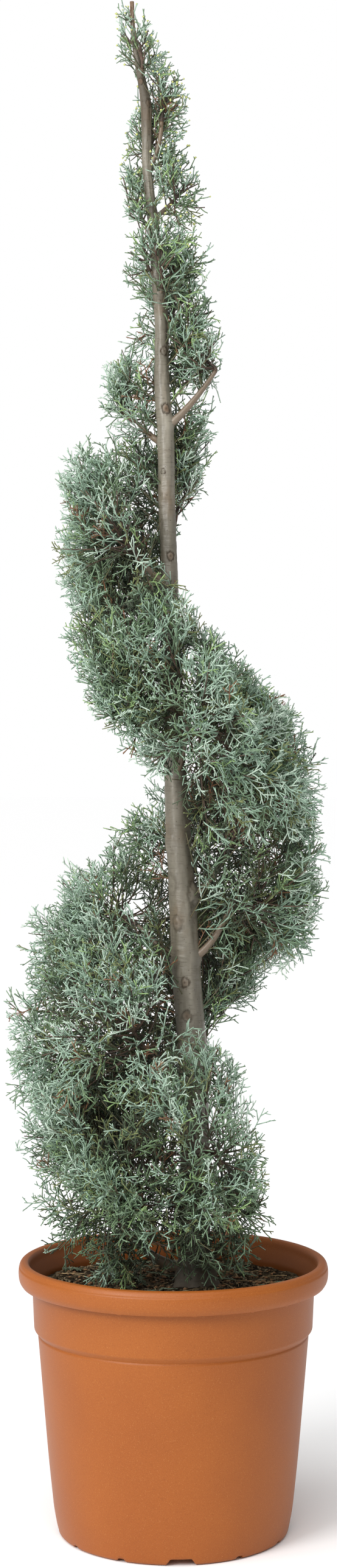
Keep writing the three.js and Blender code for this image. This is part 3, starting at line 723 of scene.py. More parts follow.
def bark_rise(base, z, turn):
    """Rise of the bark: flutes that fade above the foot, ridges that wander round the trunk, and two layers
    of smooth lumps, one for the grain along it and one for the rings."""
    foot = np.exp(-(z - TRUNK[0, 0]) / FLUTE_FADE)
    flutes = foot * sum(rise * np.cos(count * turn + start) for rise, count, start in FLUTES)
    wander = RIDGE_WANDER * lumps(z, turn, RIDGE_LENGTH, RIDGE_SEED)
    ridges = np.cos(RIDGES * turn + wander) + LOW_RIDGE * np.cos(LOW_RIDGES * turn + z / RIDGE_TWIST)
    grain = sum(rise * lumps(turn / (2 * np.pi) * count, z / length, 1, seed, count)
                for rise, count, length, seed in BARK_LUMPS)
    return flutes + RIDGE_SHARE * base * ridges + grain


def knot_marks(base, z, turn):
    """Rise, darkening and bare wood of the knots. A knot is a round swelling with a sunken ring at its edge
    and a pit in its middle, all bell curves of the distance from it in its own half heights. The darkening of
    ring and pit is partly the knot's own dark bark and partly painted shade in these hollows."""
    rise, crease, wood = np.zeros_like(z), np.zeros_like(z), np.zeros_like(z)
    uneven = 1 + KNOT_UNEVEN * lumps(turn * UNEVEN_TURNS, z / UNEVEN_LENGTH, 1, KNOT_SEED)
    for height, knot_turn, half, swelling, bare in KNOTS:
        off = wrapped(turn - math.radians(knot_turn), 2 * np.pi) * base
        away = np.hypot((z - height) / half, off / (KNOT_WIDTH * half)) * uneven
        ring = np.exp(-((away - KNOT_RING) / KNOT_RING_WIDTH) ** 2)
        pit = np.exp(-(away / KNOT_PIT) ** 2)
        rise += swelling * (np.exp(-away ** 2) - KNOT_RING_DEPTH * ring - KNOT_PIT_DEPTH * pit)
        crease = np.maximum(crease, np.maximum(ring, PIT_SHADE * pit) * min(1, OPEN_KNOT / half) ** 2)
        wood = np.maximum(wood, bare * np.exp(-(away / KNOT_WOOD) ** 6))
    return rise, crease, wood


def collar_rise(base, z, turn, boughs):
    """Rise of the collars: a bell curve round the place where each bough's line leaves the trunk's side."""
    rise = np.zeros_like(z)
    for foot, bend, thick in zip(boughs.start, boughs.bend, boughs.radius):
        way = unit(bend - foot)
        height = foot[2] + trunk_radius(foot[2]) * way[2] / max(np.hypot(way[0], way[1]), COLLAR_SLOPE)
        off = wrapped(turn - math.atan2(-way[0], -way[1]), 2 * np.pi) * base
        away = ((z - height) / (COLLAR_HEIGHT * thick)) ** 2 + (off / (COLLAR_WIDTH * thick)) ** 2
        rise += COLLAR_RISE * thick * np.exp(-away)
    return rise


def make_trunk(boughs, material):
    """Trunk: a circle carried up the eased line, its radius the eased radius with the rise of the bark, the
    knots and the collars. Its knots' rings and pits are darkened, partly their own dark bark and partly
    painted shade; the foot above the soil gets painted shade, and the old bark of the leader is dark."""
    foot, tip = TRUNK[0, 0], TRUNK[-1, 0]
    heights = np.linspace(foot, tip, int((tip - foot) / TRUNK_RING_STEP))
    turns = 2 * np.pi * np.arange(TRUNK_SIDES) / TRUNK_SIDES
    z, turn = np.meshgrid(heights, turns, indexing="ij")
    base = eased(trunk_radius, heights)[:, None]
    rise, crease, wood = knot_marks(base, z, turn)
    radius = base + bark_rise(base, z, turn) + rise + collar_rise(base, z, turn, boughs)
    centre = eased(trunk_centre, heights)
    x, y = centre[:, None, 0] - radius * np.sin(turn), centre[:, None, 1] - radius * np.cos(turn)
    points = np.stack([x, y, z], -1)
    piece = turned_piece("Trunk_Bark", points, centre[[0, -1]], material, "bark", ["Trunk"])
    # Painted shade on the foot above the soil, and the dark old bark of the leader
    foot_shading, fade = BARK_FOOT_SHADE
    dark, middle, half = DARK_LEADER
    shade = np.maximum(foot_shading * np.exp(-(z - foot) / fade), dark * np.exp(-((z - middle) / half) ** 4))
    wood = np.maximum(wood, smooth_step(tip - CUT_TIP, tip, z))
    paint(piece, crease=np.append(np.maximum(crease, shade), [0, 0]), wood=np.append(wood, [0, 1]))


# Masses
def spiral_column(column, turn):
    """A column of the spiral's table at a turn, by straight lines between its rows."""
    return np.interp(turn, SPIRAL_TURNS, SPIRAL[:, column])


def place_masses():
    """Masses: one every step along the spiral, in two tiers where the spiral is tall. Gives their turns,
    tiers, heights, reaches, ways out and middles, each as an array."""
    masses = []
    for turn in range(FIRST_TURN, LAST_TURN + 1, MASS_STEP):
        low = max(spiral_column(0, turn), LOWEST_LEAF)
        high, reach = spiral_column(1, turn), spiral_column(3, turn)
        out = np.array([-math.sin(math.radians(turn)), -math.cos(math.radians(turn)), 0])
        tiers = 2 if high - low > TALLEST_MASS else 1
        height = (high - low) / tiers
        for tier in range(tiers):
            middle = low + height * (tier + 0.5)
            centre = trunk_centre(middle) + MASS_MIDDLE_SHARE * reach * out
            masses.append((turn, tier, height, reach, out, centre))
    return [np.array(column) for column in zip(*masses)]


def node_names(kind):
    """Names of the solids of a kind that has one for each mass."""
    return [f"{kind}_{number + 1:02d}" for number in range(len(REACHES))]


MASS_TURNS, TIERS, HEIGHTS, REACHES, OUTS, CENTRES = place_masses()
BORDER_NORMALS = unit(CENTRES[None, :] - CENTRES[:, None])
BORDER_LIMITS = ((CENTRES[None, :] + CENTRES[:, None]) / 2 * BORDER_NORMALS).sum(-1)
np.fill_diagonal(BORDER_LIMITS, np.inf)


def spiral_depth(points, owner):
    """How deep points lie in the spiral: 0 on its middle line, 1 on its edge, an ellipse in each quarter."""
    axis = trunk_centre(points[..., 2])
    angle = np.degrees(np.arctan2(axis[..., 0] - points[..., 0], axis[..., 1] - points[..., 1]))
    turn = angle + 360 * np.round((MASS_TURNS[owner] - angle) / 360)
    low, high, widest, reach = (spiral_column(column, turn) for column in range(4))
    aside = np.hypot(points[..., 0] - axis[..., 0], points[..., 1] - axis[..., 1]) / reach
    over = points[..., 2] - widest
    away = np.where(over > 0, over / (high - widest), -over / (widest - low))
    return np.where(turn < FIRST_TURN - MASS_STEP / 2, np.inf, aside ** 2 + away ** 2)


def border_room(points, owner):
    """Distance from each point to the nearest border of its mass, negative beyond it."""
    return (BORDER_LIMITS[owner] - (BORDER_NORMALS[owner] * points[..., None, :]).sum(-1)).min(-1)


def near_foot(z):
    """1 near the soil, fading to 0 higher up the crown."""
    return 1 - smooth_step(*FOOT_FADE, z)


def fits(points, owner, edge, border=-INTERLOCK):
    """True where a point keeps to its mass's side of every border, inside the spiral, above the soil and off
    the pot's rim. The pattern of tufts and strays is read across a slanted plane. A stray's share counts
    twice, because the depth in the spiral goes with the square of the reach."""
    x, y, z = points[..., 0], points[..., 1], points[..., 2]
    radius = np.hypot(x, y)
    off_rim = (z > RIM_CLEARANCE_HEIGHT) | (radius < RIM_CLEARANCE_RADIUS)
    keeps = (border_room(points, owner) >= border) & (z > LOWEST_LEAF) & off_rim & (radius < CROWN_RADIUS)
    slanted = x + TUFT_SLANT[0] * z, y + TUFT_SLANT[1] * z
    tuft = TUFT_DEPTH * lumps(*slanted, TUFT_SIZE, TUFT_SEED)
    stray_share = np.minimum(STRAY_RUN / REACHES[owner], STRAY_MOST)
    stray = 2 * stray_share * lumps(*slanted, STRAY_SIZE, STRAY_SEED)
    held = TUFT_DEPTH * TUFT_HOLD + FOOT_HOLD * near_foot(z)
    return keeps & (spiral_depth(points, owner) <= edge + tuft + stray - held)


def cover(points, owner):
    """Roughly how many millimetres of crown lie between a point and the spiral's edge."""
    return (1 - np.sqrt(np.clip(spiral_depth(points, owner), 0, 1))) * REACHES[owner]


def nearest_mass(points):
    """The mass whose space a point lies in: the one with the nearest middle."""
    return np.linalg.norm(points[:, None] - CENTRES, axis=-1).argmin(1)


# Boughs, branches, shoots and sprays
def bough_line(number):
    """Line of a bough, from inside the trunk, out and up, to the lower inner part of its mass: three corner
    points of a quadratic curve, and its radius at the trunk."""
    shown = SHOWN_BOUGHS.get((MASS_TURNS[number], TIERS[number]))
    if shown:
        height, via, tip, thickness = shown
        return [trunk_centre(height), via, tip], thickness / 2
    run = BOUGH_TIP_SHARE * REACHES[number]
    heights = [CENTRES[number, 2] - drop * HEIGHTS[number] for drop in BOUGH_TIP_DROPS]
    heights = np.maximum(heights, LOWEST_LEAF + LOWEST_TIP)
    tips = [trunk_centre(z) + run * OUTS[number] for z in heights]
    tip = next((place for place in tips if border_room(place, number) >= STEM_MARGIN), tips[-1])
    foot = trunk_centre(max(tip[2] - BOUGH_RISE * run, SOIL_TOP + LOWEST_BOUGH))
    via = foot + BOUGH_BEND_SHARE * (tip - foot) - BOUGH_SAG * run * UP
    thick = BOUGH_THICKNESS_SHARE * trunk_radius(foot[2]) + BOUGH_THICKNESS_LEAST
    return [foot, via, tip], max(thick, BOUGH_TIP_RADIUS + BOUGH_TAPER_LEAST)


class Axes:
    """Many limbs of one kind: quadratic curves of start, bend and end points, radii at both ends, the mass
    that each belongs to and its tone."""

    PARTS = ("start", "bend", "end", "radius", "tip_radius", "mass", "tone")

    def __init__(self, start, bend, end, radius, tip_radius, mass, tone):
        self.start, self.bend, self.end = start, bend, end
        count = len(start)
        self.radius = np.broadcast_to(np.asarray(radius, float), count)
        self.tip_radius = np.broadcast_to(np.asarray(tip_radius, float), count)
        self.mass, self.tone = mass, tone
        self.length = np.linalg.norm(end - start, axis=-1)

    def pick(self, chosen):
        """Only the chosen limbs."""
        return Axes(*(getattr(self, part)[chosen] for part in self.PARTS))

    def at(self, owner, t):
        """Points and headings at share t of the chosen curves."""
        a, b, c = self.start[owner], self.bend[owner], self.end[owner]
        t = t[:, None]
        return quadratic(a, b, c, t), unit((1 - t) * (b - a) + t * (c - b))


def joined(*groups):
    """Several groups of limbs as one."""
    return Axes(*(np.concatenate([getattr(group, part) for group in groups]) for part in Axes.PARTS))


def tubes(axes, sides, rings, swell=1):
    """Points, four-cornered and three-cornered faces of tapering tubes: a circle carried along each curve,
    square to it, with a fan over each end. swell is a factor on the radius, one for each ring."""
    count = len(axes.start)
    t = np.linspace(0, 1, rings)
    owner = np.repeat(np.arange(count), rings)
    point, heading = axes.at(owner, np.tile(t, count))
    point, heading = point.reshape(count, rings, 3), heading.reshape(count, rings, 3)
    first = across(heading[:, :1])[0]
    u = unit(first - (first * heading).sum(-1, keepdims=True) * heading)
    v = np.cross(heading, u)
    angle = 2 * np.pi * np.arange(sides) / sides
    radius = (axes.radius[:, None] * (1 - t) + axes.tip_radius[:, None] * t) * swell
    circle = np.cos(angle)[:, None] * u[:, :, None] + np.sin(angle)[:, None] * v[:, :, None]
    points = point[:, :, None] + radius[:, :, None, None] * circle
    fan = np.arange(1, sides - 1)
    foot = np.stack([0 * fan, fan + 1, fan], -1)
    top = np.stack([0 * fan, fan, fan + 1], -1) + (rings - 1) * sides
    first_corner = np.arange(count)[:, None, None] * rings * sides
    quads = first_corner + grid_faces(rings, sides)[None]
    caps = first_corner + np.concatenate([foot, top])[None]
    return points.reshape(-1, 3), quads.reshape(-1, 4), caps.reshape(-1, 3)


def blobs(places, sizes, squash, draw):
    """Small lumps: a six-cornered ball at each place, its corners drawn out by chance, then squashed."""
    corners = np.array([[1, 0, 0], [0, 1, 0], [-1, 0, 0], [0, -1, 0], [0, 0, 1], [0, 0, -1]], float)
    faces = np.array([[0, 1, 4], [1, 2, 4], [2, 3, 4], [3, 0, 4], [1, 0, 5], [2, 1, 5], [3, 2, 5], [0, 3, 5]])
    count = len(places)
    shape = corners[None] * draw.uniform(*LUMP_UNEVEN, (count, 6, 1)) * sizes[:, None, None]
    turn = draw.uniform(0, 2 * np.pi, (count, 1))
    x = shape[..., 0] * np.cos(turn) - shape[..., 1] * np.sin(turn)
    y = shape[..., 0] * np.sin(turn) + shape[..., 1] * np.cos(turn)
    points = places[:, None] + np.stack([x, y * squash, shape[..., 2] * squash], -1)
    triangles = faces[None] + 6 * np.arange(count)[:, None, None]
    return points.reshape(-1, 3), triangles.reshape(-1, 3)


def grow_trunk():
    """The trunk as one straight limb between each two rows of its table, as thick as the thicker row."""
    places = TRUNK[:, [1, 2, 0]]
    thick = np.maximum(TRUNK[:-1, 3], TRUNK[1:, 3]) / 2
    none = np.zeros(len(thick), int)
    return Axes(places[:-1], (places[:-1] + places[1:]) / 2, places[1:], thick, thick, none, none)


def grow_boughs():
    """The boughs as limbs, one for each mass."""
    lines, thick = zip(*(bough_line(number) for number in range(len(REACHES))))
    start, bend, end = (np.array([line[i] for line in lines], float) for i in range(3))
    return Axes(start, bend, end, thick, BOUGH_TIP_RADIUS, np.arange(len(lines)), np.zeros(len(lines)))


def limb_pieces(trunk, boughs):
    """The trunk and the boughs as short straight pieces: two ends and a radius each."""
    pieces = list(zip(trunk.start, trunk.end, trunk.radius))
    t = np.linspace(0, 1, BOUGH_PIECES + 1)[:, None]
    for start, bend, end, thick in zip(boughs.start, boughs.bend, boughs.end, boughs.radius):
        places = quadratic(start, bend, end, t)
        pieces += list(zip(places[:-1], places[1:], np.linspace(thick, BOUGH_TIP_RADIUS, BOUGH_PIECES)))
    return pieces


def clear_of(pieces, start, end, clearance):
    """True where the straight line from start to end keeps that far from every limb: the shortest distance
    between two straight pieces, each nearest place held between its ends."""
    clear = np.ones(len(start), bool)
    u = end - start
    uu = np.maximum((u * u).sum(-1), 1e-9)
    for low, high, radius in pieces:
        v = high - low
        vv = v @ v
        w = start - low
        uv, uw, vw = u @ v, (u * w).sum(-1), w @ v
        down = uu * vv - uv * uv
        s = np.where(down > 1e-6, np.clip((uv * vw - vv * uw) / np.maximum(down, 1e-6), 0, 1), 0)
        t = np.clip((uv * s + vw) / vv, 0, 1)
        s = np.clip((uv * t - uw) / uu, 0, 1)
        near = start + s[:, None] * u - low - t[:, None] * v
        clear &= (near * near).sum(-1) > (radius + clearance) ** 2
    return clear


def grow_stems(boughs):
    """Stem of each mass: carries on from its bough, then turns up into the middle of the mass."""
    run = np.linalg.norm(CENTRES - boughs.end, axis=-1, keepdims=True)
    bend = boughs.end + STEM_BEND * run * unit(boughs.end - boughs.bend)
    return Axes(boughs.end, bend, CENTRES, STEM_RADIUS, STEM_TIP_RADIUS, boughs.mass, boughs.tone)


def grow_branches(stems, pieces, draw):
    """Branches of each mass: one for each golden turn, from low to high about a pole that leans outward, from
    the stem to near the furthest place that the mass has room for, sagging first and then turning up."""
    counts = FEWEST_BRANCHES + (REACHES * BRANCHES_PER_REACH).astype(int)
    owner, i = numbered(counts)
    rise = LOWEST_BRANCH + (HIGHEST_BRANCH - LOWEST_BRANCH) * (i + 0.5) / counts[owner]
    angle = i * GOLDEN_TURN + owner + 1
    place = FIRST_BRANCH_PLACE + (1 - FIRST_BRANCH_PLACE) * i / (counts[owner] - 1)
    pole = unit(POLE_LEAN * OUTS[owner] + UP)
    level = np.sqrt(1 - rise ** 2)[:, None]
    direction = rise[:, None] * pole + level * around(pole, angle)
    runs = np.arange(ROOM_STEP, ROOM_MOST, ROOM_STEP)
    ray = CENTRES[owner][:, None] + runs[None, :, None] * direction[:, None]
    inside = fits(ray, owner[:, None], 1, 0)
    room = ROOM_STEP * np.where(inside.all(1), len(runs), inside.argmin(1))
    reach = room * draw.uniform(*BRANCH_FILL, len(owner))
    start, _ = stems.at(owner, place)
    end = CENTRES[owner] + reach[:, None] * direction
    run = np.linalg.norm(end - start, axis=-1, keepdims=True)
    bend = (start + end) / 2 - BRANCH_SAG * run * UP + BRANCH_WAVER * run * draw.normal(size=start.shape)
    branches = Axes(start, bend, end, BRANCH_RADIUS, BRANCH_TIP_RADIUS, owner, draw.random(len(owner)))
    return branches.pick((run[:, 0] > SHORTEST_BRANCH) & clear_of(pieces, bend, end, BRANCH_CLEARANCE))


def sprout(parents, pieces, draw, spacing, first, slant, lengths, radii, lift, edge, mass_share=(1, 1),
           alternate=False):
    """Side shoots along each parent from share first of its length on, one every spacing, and the number of
    each one's parent. Each leaves at the slant angle, turned round the parent by golden turns or to alternate
    sides, and bends outward and up by the lift, or down where it is low in its mass. A shoot that would leave
    its mass's space or touch a limb is tried again at two thirds of its length and then left out."""
    counts = ((LAST_PLACE - first) * parents.length / spacing).astype(int)
    owner, k = numbered(counts)
    share = (k + draw.uniform(*PLACE_SPREAD, len(owner))) / counts[owner]
    point, heading = parents.at(owner, first + (LAST_PLACE - first) * share)
    phase = draw.uniform(0, 2 * np.pi, len(counts))[owner]
    wobble = draw.normal(0, ROLL_WOBBLE, len(owner))
    roll = phase + wobble + (k % 2 * np.pi if alternate else k * GOLDEN_TURN)
    angle = np.radians(slant + draw.normal(0, SLANT_WOBBLE, len(owner)))
    direction = np.cos(angle)[:, None] * heading + np.sin(angle)[:, None] * around(heading, roll)
    mass = parents.mass[owner]
    away = unit((point - trunk_centre(point[:, 2])) * [1, 1, 0] + 1e-6)
    below = (CENTRES[mass, 2] - point[:, 2]) / (HEIGHTS[mass] / 2)
    hang = HANG_UP - (HANG_UP + HANG_DOWN) * smooth_step(*HANG_PLACES, below)
    rise = lift * (hang[:, None] * UP + OUTWARD_LIFT * away)
    length = (lengths[0] + (lengths[1] - lengths[0]) * share) * draw.uniform(*LENGTH_SPREAD, len(owner))
    length *= np.clip(REACHES[mass] / LARGE_REACH, *mass_share)
    kept = np.zeros(len(owner), bool)
    run = np.zeros(len(owner))
    for shorter in LENGTH_TRIES:
        end = point + (shorter * length)[:, None] * unit(direction + rise)
        good = ~kept & fits(end, mass, edge) & clear_of(pieces, (point + end) / 2, end, SHOOT_CLEARANCE)
        run[good] = shorter * length[good]
        kept |= good
    point, direction, run = point[kept], direction[kept], run[kept, None]
    end = point + run * unit(direction + rise[kept])
    shoots = Axes(point, point + 0.5 * run * direction, end, *radii, mass[kept], parents.tone[owner][kept])
    return shoots, owner[kept]


def deal_kinds(sprays, draw):
    """The kind of each spray: olive and brown ones mostly deep inside, fresh ones mostly near the top, and
    the rest ranked by a tone that is part its shoot's, part its own and part painted shade, by how deep it
    lies, how near the soil and how far up the leader."""
    under, heights = cover(sprays.end, sprays.mass), sprays.end[:, 2]
    tone = SHOOT_TONE * sprays.tone + SPRAY_TONE * draw.random(len(under))
    # Painted shade: sprays deep in the crown, near the soil and on the leader rank darker; deep down it also
    # stands for older inner foliage
    tone -= DEPTH_SHADE * smooth_step(*DEPTH_FADE, under)
    tone -= FOOT_SHADE * near_foot(heights) + LEADER_SHADE * smooth_step(*LEADER_RISE, heights)
    shares = np.array([share for _, _, share in FOLIAGE_KINDS])
    edges = np.quantile(tone, np.cumsum(shares / shares.sum())[:-1])
    kind = np.searchsorted(edges, tone)
    deep, high = smooth_step(*ODD_DEPTH, under), smooth_step(*FRESH_RISE, heights)
    olive, fresh, brown = (least + more * where
                           for (_, _, least, more), where in zip(ODD_KINDS, (deep, high, deep)))
    dice = draw.random(len(under))
    first_odd = len(FOLIAGE_KINDS)
    kind[dice < olive] = first_odd
    kind[(dice > FRESH_FROM) & (dice < FRESH_FROM + fresh)] = first_odd + 1
    kind[dice > 1 - brown] = first_odd + 2
    return kind


def limb_shoots(trunk, boughs, pieces, draw):
    """Shoots straight from the trunk and the boughs: at each place the longest that the spiral covers."""
    limbs = joined(trunk, boughs)
    which, _ = numbered(np.maximum((limbs.length / LIMB_SHOOT_STEP).astype(int), 1))
    count = len(which)
    point, heading = limbs.at(which, draw.random(count))
    way = unit(around(heading, np.arange(count) * GOLDEN_TURN) + LIMB_SHOOT_RISE * UP)
    mass = nearest_mass(point + LIMB_SHOOT_RUNS[0] * way)
    tips, found = point.copy(), np.zeros(count, bool)
    for length in LIMB_SHOOT_RUNS:
        run = length * draw.uniform(*LIMB_SHOOT_SPREAD, count)[:, None]
        tip = point + run * unit(way + LIMB_SHOOT_LIFT * UP)
        good = fits(tip, mass, LIMB_SHOOT_EDGE, 0)
        good &= clear_of(pieces, point + LIMB_SHOOT_FREE * run * way, tip, LIMB_SHOOT_CLEARANCE)
        tips[good] = tip[good]
        found |= good
    bend = (point + tips) / 2 - LIMB_SHOOT_SAG * UP
    return Axes(point, bend, tips, *LIMB_SHOOT_RADII, mass, draw.random(count)).pick(found)


def cone_tips(branchlets, draw):
    """Pollen cones: small yellow-green lumps on the ends of some branchlets, high up in the tree."""
    chance = CONE_SHARE * smooth_step(FIRST_CONE, MOST_CONES, branchlets.end[:, 2])
    places = branchlets.end[draw.random(len(chance)) < chance]
    return blobs(places, draw.uniform(*CONE_SIZES, len(places)), CONE_SQUASH, draw)


def grow_crown(boughs, draw):
    """The crown's limbs, each order grown from the one before: wood, shoots, sprays with their kinds, and the
    tips of the sprays with theirs."""
    trunk = grow_trunk()
    pieces = limb_pieces(trunk, boughs)
    stems = grow_stems(boughs)
    branches = grow_branches(stems, pieces, draw)
    branches = joined(branches, sprout(branches, pieces, draw, **ARMS)[0])
    shoots, _ = sprout(branches, pieces, draw, **SHOOTS)
    shoots = joined(shoots, limb_shoots(trunk, boughs, pieces, draw))
    shoots.tone = draw.random(len(shoots.start))
    sprays, _ = sprout(joined(shoots, branches), pieces, draw, **SPRAYS)
    deep = INSIDE_THINNING * smooth_step(*INSIDE_FADE, cover(sprays.start, sprays.mass))
    low = FOOT_THINNING * near_foot(sprays.start[:, 2])
    sprays = sprays.pick(draw.random(len(deep)) > np.maximum(deep, low))
    kinds = deal_kinds(sprays, draw)
    branchlets, owner = sprout(sprays, pieces, draw, **BRANCHLETS)
    twiglets, bearer = sprout(branchlets, pieces, draw, **TWIGLETS)
    tip_kinds = kinds[np.concatenate([owner, owner[bearer]])]
    return joined(stems, branches), shoots, sprays, kinds, joined(branchlets, twiglets), tip_kinds


def make_crown(boughs):
    """The crown as joined pieces: wood, shoots, cones, and the leaves of each kind in place of the masses."""
    draw = np.random.default_rng(CROWN_SEED)
    wood, shoots, sprays, kinds, tips, tip_kinds = grow_crown(boughs, draw)
    cones, faces = cone_tips(tips, draw)
    mesh_piece("Pollen_Cones", cones, [], faces, scale_leaves("Pollen_Cones", "#c2c878"), "foliage", [])
    for kind, (name, colour, *_) in enumerate(FOLIAGE_KINDS + ODD_KINDS):
        points, quads, caps = tubes(sprays.pick(kinds == kind), *SPRAY_MESH)
        tip_points, tip_quads, tip_caps = tubes(tips.pick(tip_kinds == kind), *TIP_MESH)
        leaves = np.concatenate([points, tip_points])
        quads = np.concatenate([quads, tip_quads + len(points)])
        caps = np.concatenate([caps, tip_caps + len(points)])
        mesh_piece(name, leaves, quads, caps, scale_leaves(name, colour), "foliage", node_names("Mass"))
    brown = young_bark("Twigs_Brown", "#5f4a3c", "#342a22")
    olive = young_bark("Twigs_Olive", "#62573e", "#4a5438")
    mesh_piece("Twigs_Brown", *tubes(wood, *WOOD_MESH), brown, "bark", [])
    mesh_piece("Twigs_Olive", *tubes(shoots, *SHOOT_MESH), olive, "bark", [])


def make_boughs(boughs, material):
    """Boughs: tubes along their lines, with low lumps and ripples."""
    t, number = np.linspace(0, 1, BOUGH_RINGS), boughs.mass[:, None]
    rough = lumps(t * BOUGH_LUMPS + number * BOUGH_APART, number + 0 * t, 1, BOUGH_SEED)
    swell = 1 + BOUGH_LUMP * rough + BOUGH_RIPPLE * np.sin(t * BOUGH_RIPPLES + number)
    points, quads, caps = tubes(boughs, BOUGH_SIDES, BOUGH_RINGS, swell)
    piece = mesh_piece("Bough_Bark", points, quads, caps, material, "bark", node_names("Bough"))
    # Painted shade: the boughs' bark is mixed part way to the brown of bare wood
    paint(piece, wood=np.full(len(points), BOUGH_SHADE))


# Litter on the soil
def soil_places(draw, count, lift):
    """Places dealt evenly over the soil, clear of the trunk's foot, that far above its surface."""
    radius = (pot_inside(SOIL_TOP) - WALL_MARGIN) * np.sqrt(draw.random(count))
    turn = draw.uniform(0, 2 * np.pi, count)
    x, y = radius * np.cos(turn), radius * np.sin(turn)
    clear = np.hypot(x - TRUNK[0, 1], y - TRUNK[0, 2]) > TRUNK[0, 3] / 2 + TRUNK_MARGIN
    x, y = x[clear], y[clear]
    return np.stack([x, y, soil_height(x, y) + lift], -1)


def scattered(draw, count, lift, sizes, squash):
    """Small lumps dealt over the soil: their points and faces."""
    places = soil_places(draw, count, lift)
    return blobs(places, draw.uniform(*sizes, len(places)), squash, draw)


def lying(draw, count, lift, lengths, radii):
    """Thin things that lie on the soil: from a place on it to another one, drawn in where that would touch
    the pot, and bent sideways a little."""
    start = soil_places(draw, count, lift)
    count = len(start)
    turn = draw.uniform(0, 2 * np.pi, count)
    way = np.stack([np.cos(turn), np.sin(turn), 0 * turn], -1)
    end = start + way * draw.uniform(*lengths, count)[:, None]
    end *= np.where(np.hypot(end[:, :1], end[:, 1:2]) > LITTER_RADIUS, DRAWN_IN, 1) * [1, 1, 0] + [0, 0, 1]
    end[:, 2] = soil_height(end[:, 0], end[:, 1]) + lift
    bend = (start + end) / 2 + draw.normal(0, 1, start.shape) * LITTER_BEND + LITTER_ARCH * UP
    return Axes(start, bend, end, *radii, np.zeros(count, int), draw.random(count))


def make_litter(material):
    """Litter: crumbs of compost and bark, bits of straw, and small sprays that have dropped and dried, each
    with its leaves to alternate sides, shorter towards its tip."""
    draw = np.random.default_rng(LITTER_SEED)
    crumbs, faces = scattered(draw, **CRUMBS)
    mesh_piece("Compost_Crumbs", crumbs, [], faces, material, "compost", [])
    chips, faces = scattered(draw, **CHIPS)
    mesh_piece("Bark_Chips", chips, [], faces, dry_litter("Bark_Chips", "#8f6a4a"), "compost", [])
    straw = tubes(lying(draw, **STRAWS), *STRAW_MESH)
    mesh_piece("Straw", *straw, dry_litter("Straw", "#b59a72"), "compost", [])
    fallen = lying(draw, **FALLEN)
    owner, number = numbered(np.full(len(fallen.start), FALLEN_LEAVES))
    t = np.linspace(*FALLEN_PLACES, FALLEN_LEAVES)[number]
    point, heading = fallen.at(owner, t)
    flat = np.cross(UP, heading) * np.where(np.arange(len(t)) % 2, 1, -1)[:, None]
    way = unit(heading + FALLEN_SLANT * flat + FALLEN_WAVER * draw.normal(size=point.shape))
    end = point + (FALLEN_LENGTH - FALLEN_TAPER * t)[:, None] * way
    leaves = Axes(point, (point + end) / 2, end, *FALLEN["radii"], owner * 0, t)
    dry = tubes(joined(fallen, leaves), *FALLEN_MESH)
    mesh_piece("Fallen_Sprays", *dry, dry_litter("Fallen_Sprays", "#7d8a72"), "compost", [])


# Materials. A pattern's Scale is the number of its cells to a metre, so 200 gives cells of 5 mm.
def wire(tree, node, inputs):
    """Sets inputs of a node, or links them to a socket, or to the first live output of another node."""
    for name, value in inputs.items():
        if isinstance(value, bpy.types.Node):
            value = next(socket for socket in value.outputs if socket.enabled)
        if isinstance(value, bpy.types.NodeSocket):
            tree.links.new(value, node.inputs[name])
        else:
            node.inputs[name].default_value = value


def add(tree, kind, inputs=None, stops=None, **settings):
    """Adds one shader node with its settings, sets or links its inputs, and gives a colour ramp its stops."""
    node = tree.nodes.new("ShaderNode" + kind)
    for name, value in settings.items():
        setattr(node, name, value)
    wire(tree, node, inputs or {})
    if stops:
        marks = node.color_ramp.elements
        while len(marks) < len(stops):
            marks.new(0.5)
        for mark, (place, colour) in zip(marks, stops):
            mark.position, mark.color = place, colour
    return node


def start_material(name):
    """An empty node material: its tree and the shader at its end."""
    material = bpy.data.materials.new(name)
    material.use_nodes = True
    tree = material.node_tree
    tree.nodes.clear()
    shader = add(tree, "BsdfPrincipled")
    add(tree, "OutputMaterial", {"Surface": shader})
    return material, tree, shader


def grey(value):
    """A grey of that linear value."""
    return (value, value, value, 1)


def terracotta_plastic():
    """Injection-moulded polypropylene with terracotta pigment: satin, hardly mottled, grained by pale and
    dark flecks of half a millimetre (drawn at 1.2 mm so that they show), its inner wall given painted shade,
    darker down towards the soil."""
    material, tree, shader = start_material("Terracotta_Polypropylene")
    place = add(tree, "TexCoord").outputs["Object"]
    mottle = add(tree, "TexNoise", {"Vector": place, "Scale": 7, "Detail": 3, "Roughness": 0.5})
    base = add(tree, "ValToRGB", {"Fac": mottle}, [(0.3, linear("#934e18")), (0.7, linear("#9d561c"))])
    fleck = add(tree, "TexNoise", {"Vector": place, "Scale": 850, "Detail": 2, "Roughness": 0.7})
    grain = add(tree, "ValToRGB", {"Fac": fleck}, [(0.45, linear("#7a4016")), (0.55, linear("#c48a55"))])
    grain_mask = add(tree, "ValToRGB", {"Fac": fleck},
                     [(0.34, grey(0.4)), (0.45, grey(0)), (0.6, grey(0)), (0.74, grey(0.4))])
    grained = add(tree, "Mix", {"Factor": grain_mask, "A": base, "B": grain}, data_type="RGBA")
    # Painted shade on the inner wall: mixed towards a deep brown, more and more down to the soil
    inside = add(tree, "Attribute", attribute_name="inside").outputs["Fac"]
    depth = add(tree, "Math", {0: inside, 1: 0.45}, operation="MULTIPLY")
    inner_shaded = add(tree, "Mix", {"Factor": depth, "A": grained, "B": linear("#5c3112")}, data_type="RGBA")
    rough = add(tree, "MapRange", {"Value": mottle, "To Min": 0.4, "To Max": 0.52})
    bump = add(tree, "Bump", {"Height": fleck, "Strength": 0.1, "Distance": 0.0005})
    wire(tree, shader, {"Base Color": inner_shaded, "Roughness": rough, "Normal": bump, "IOR": 1.49,
                        "Specular IOR Level": 0.35})
    return material


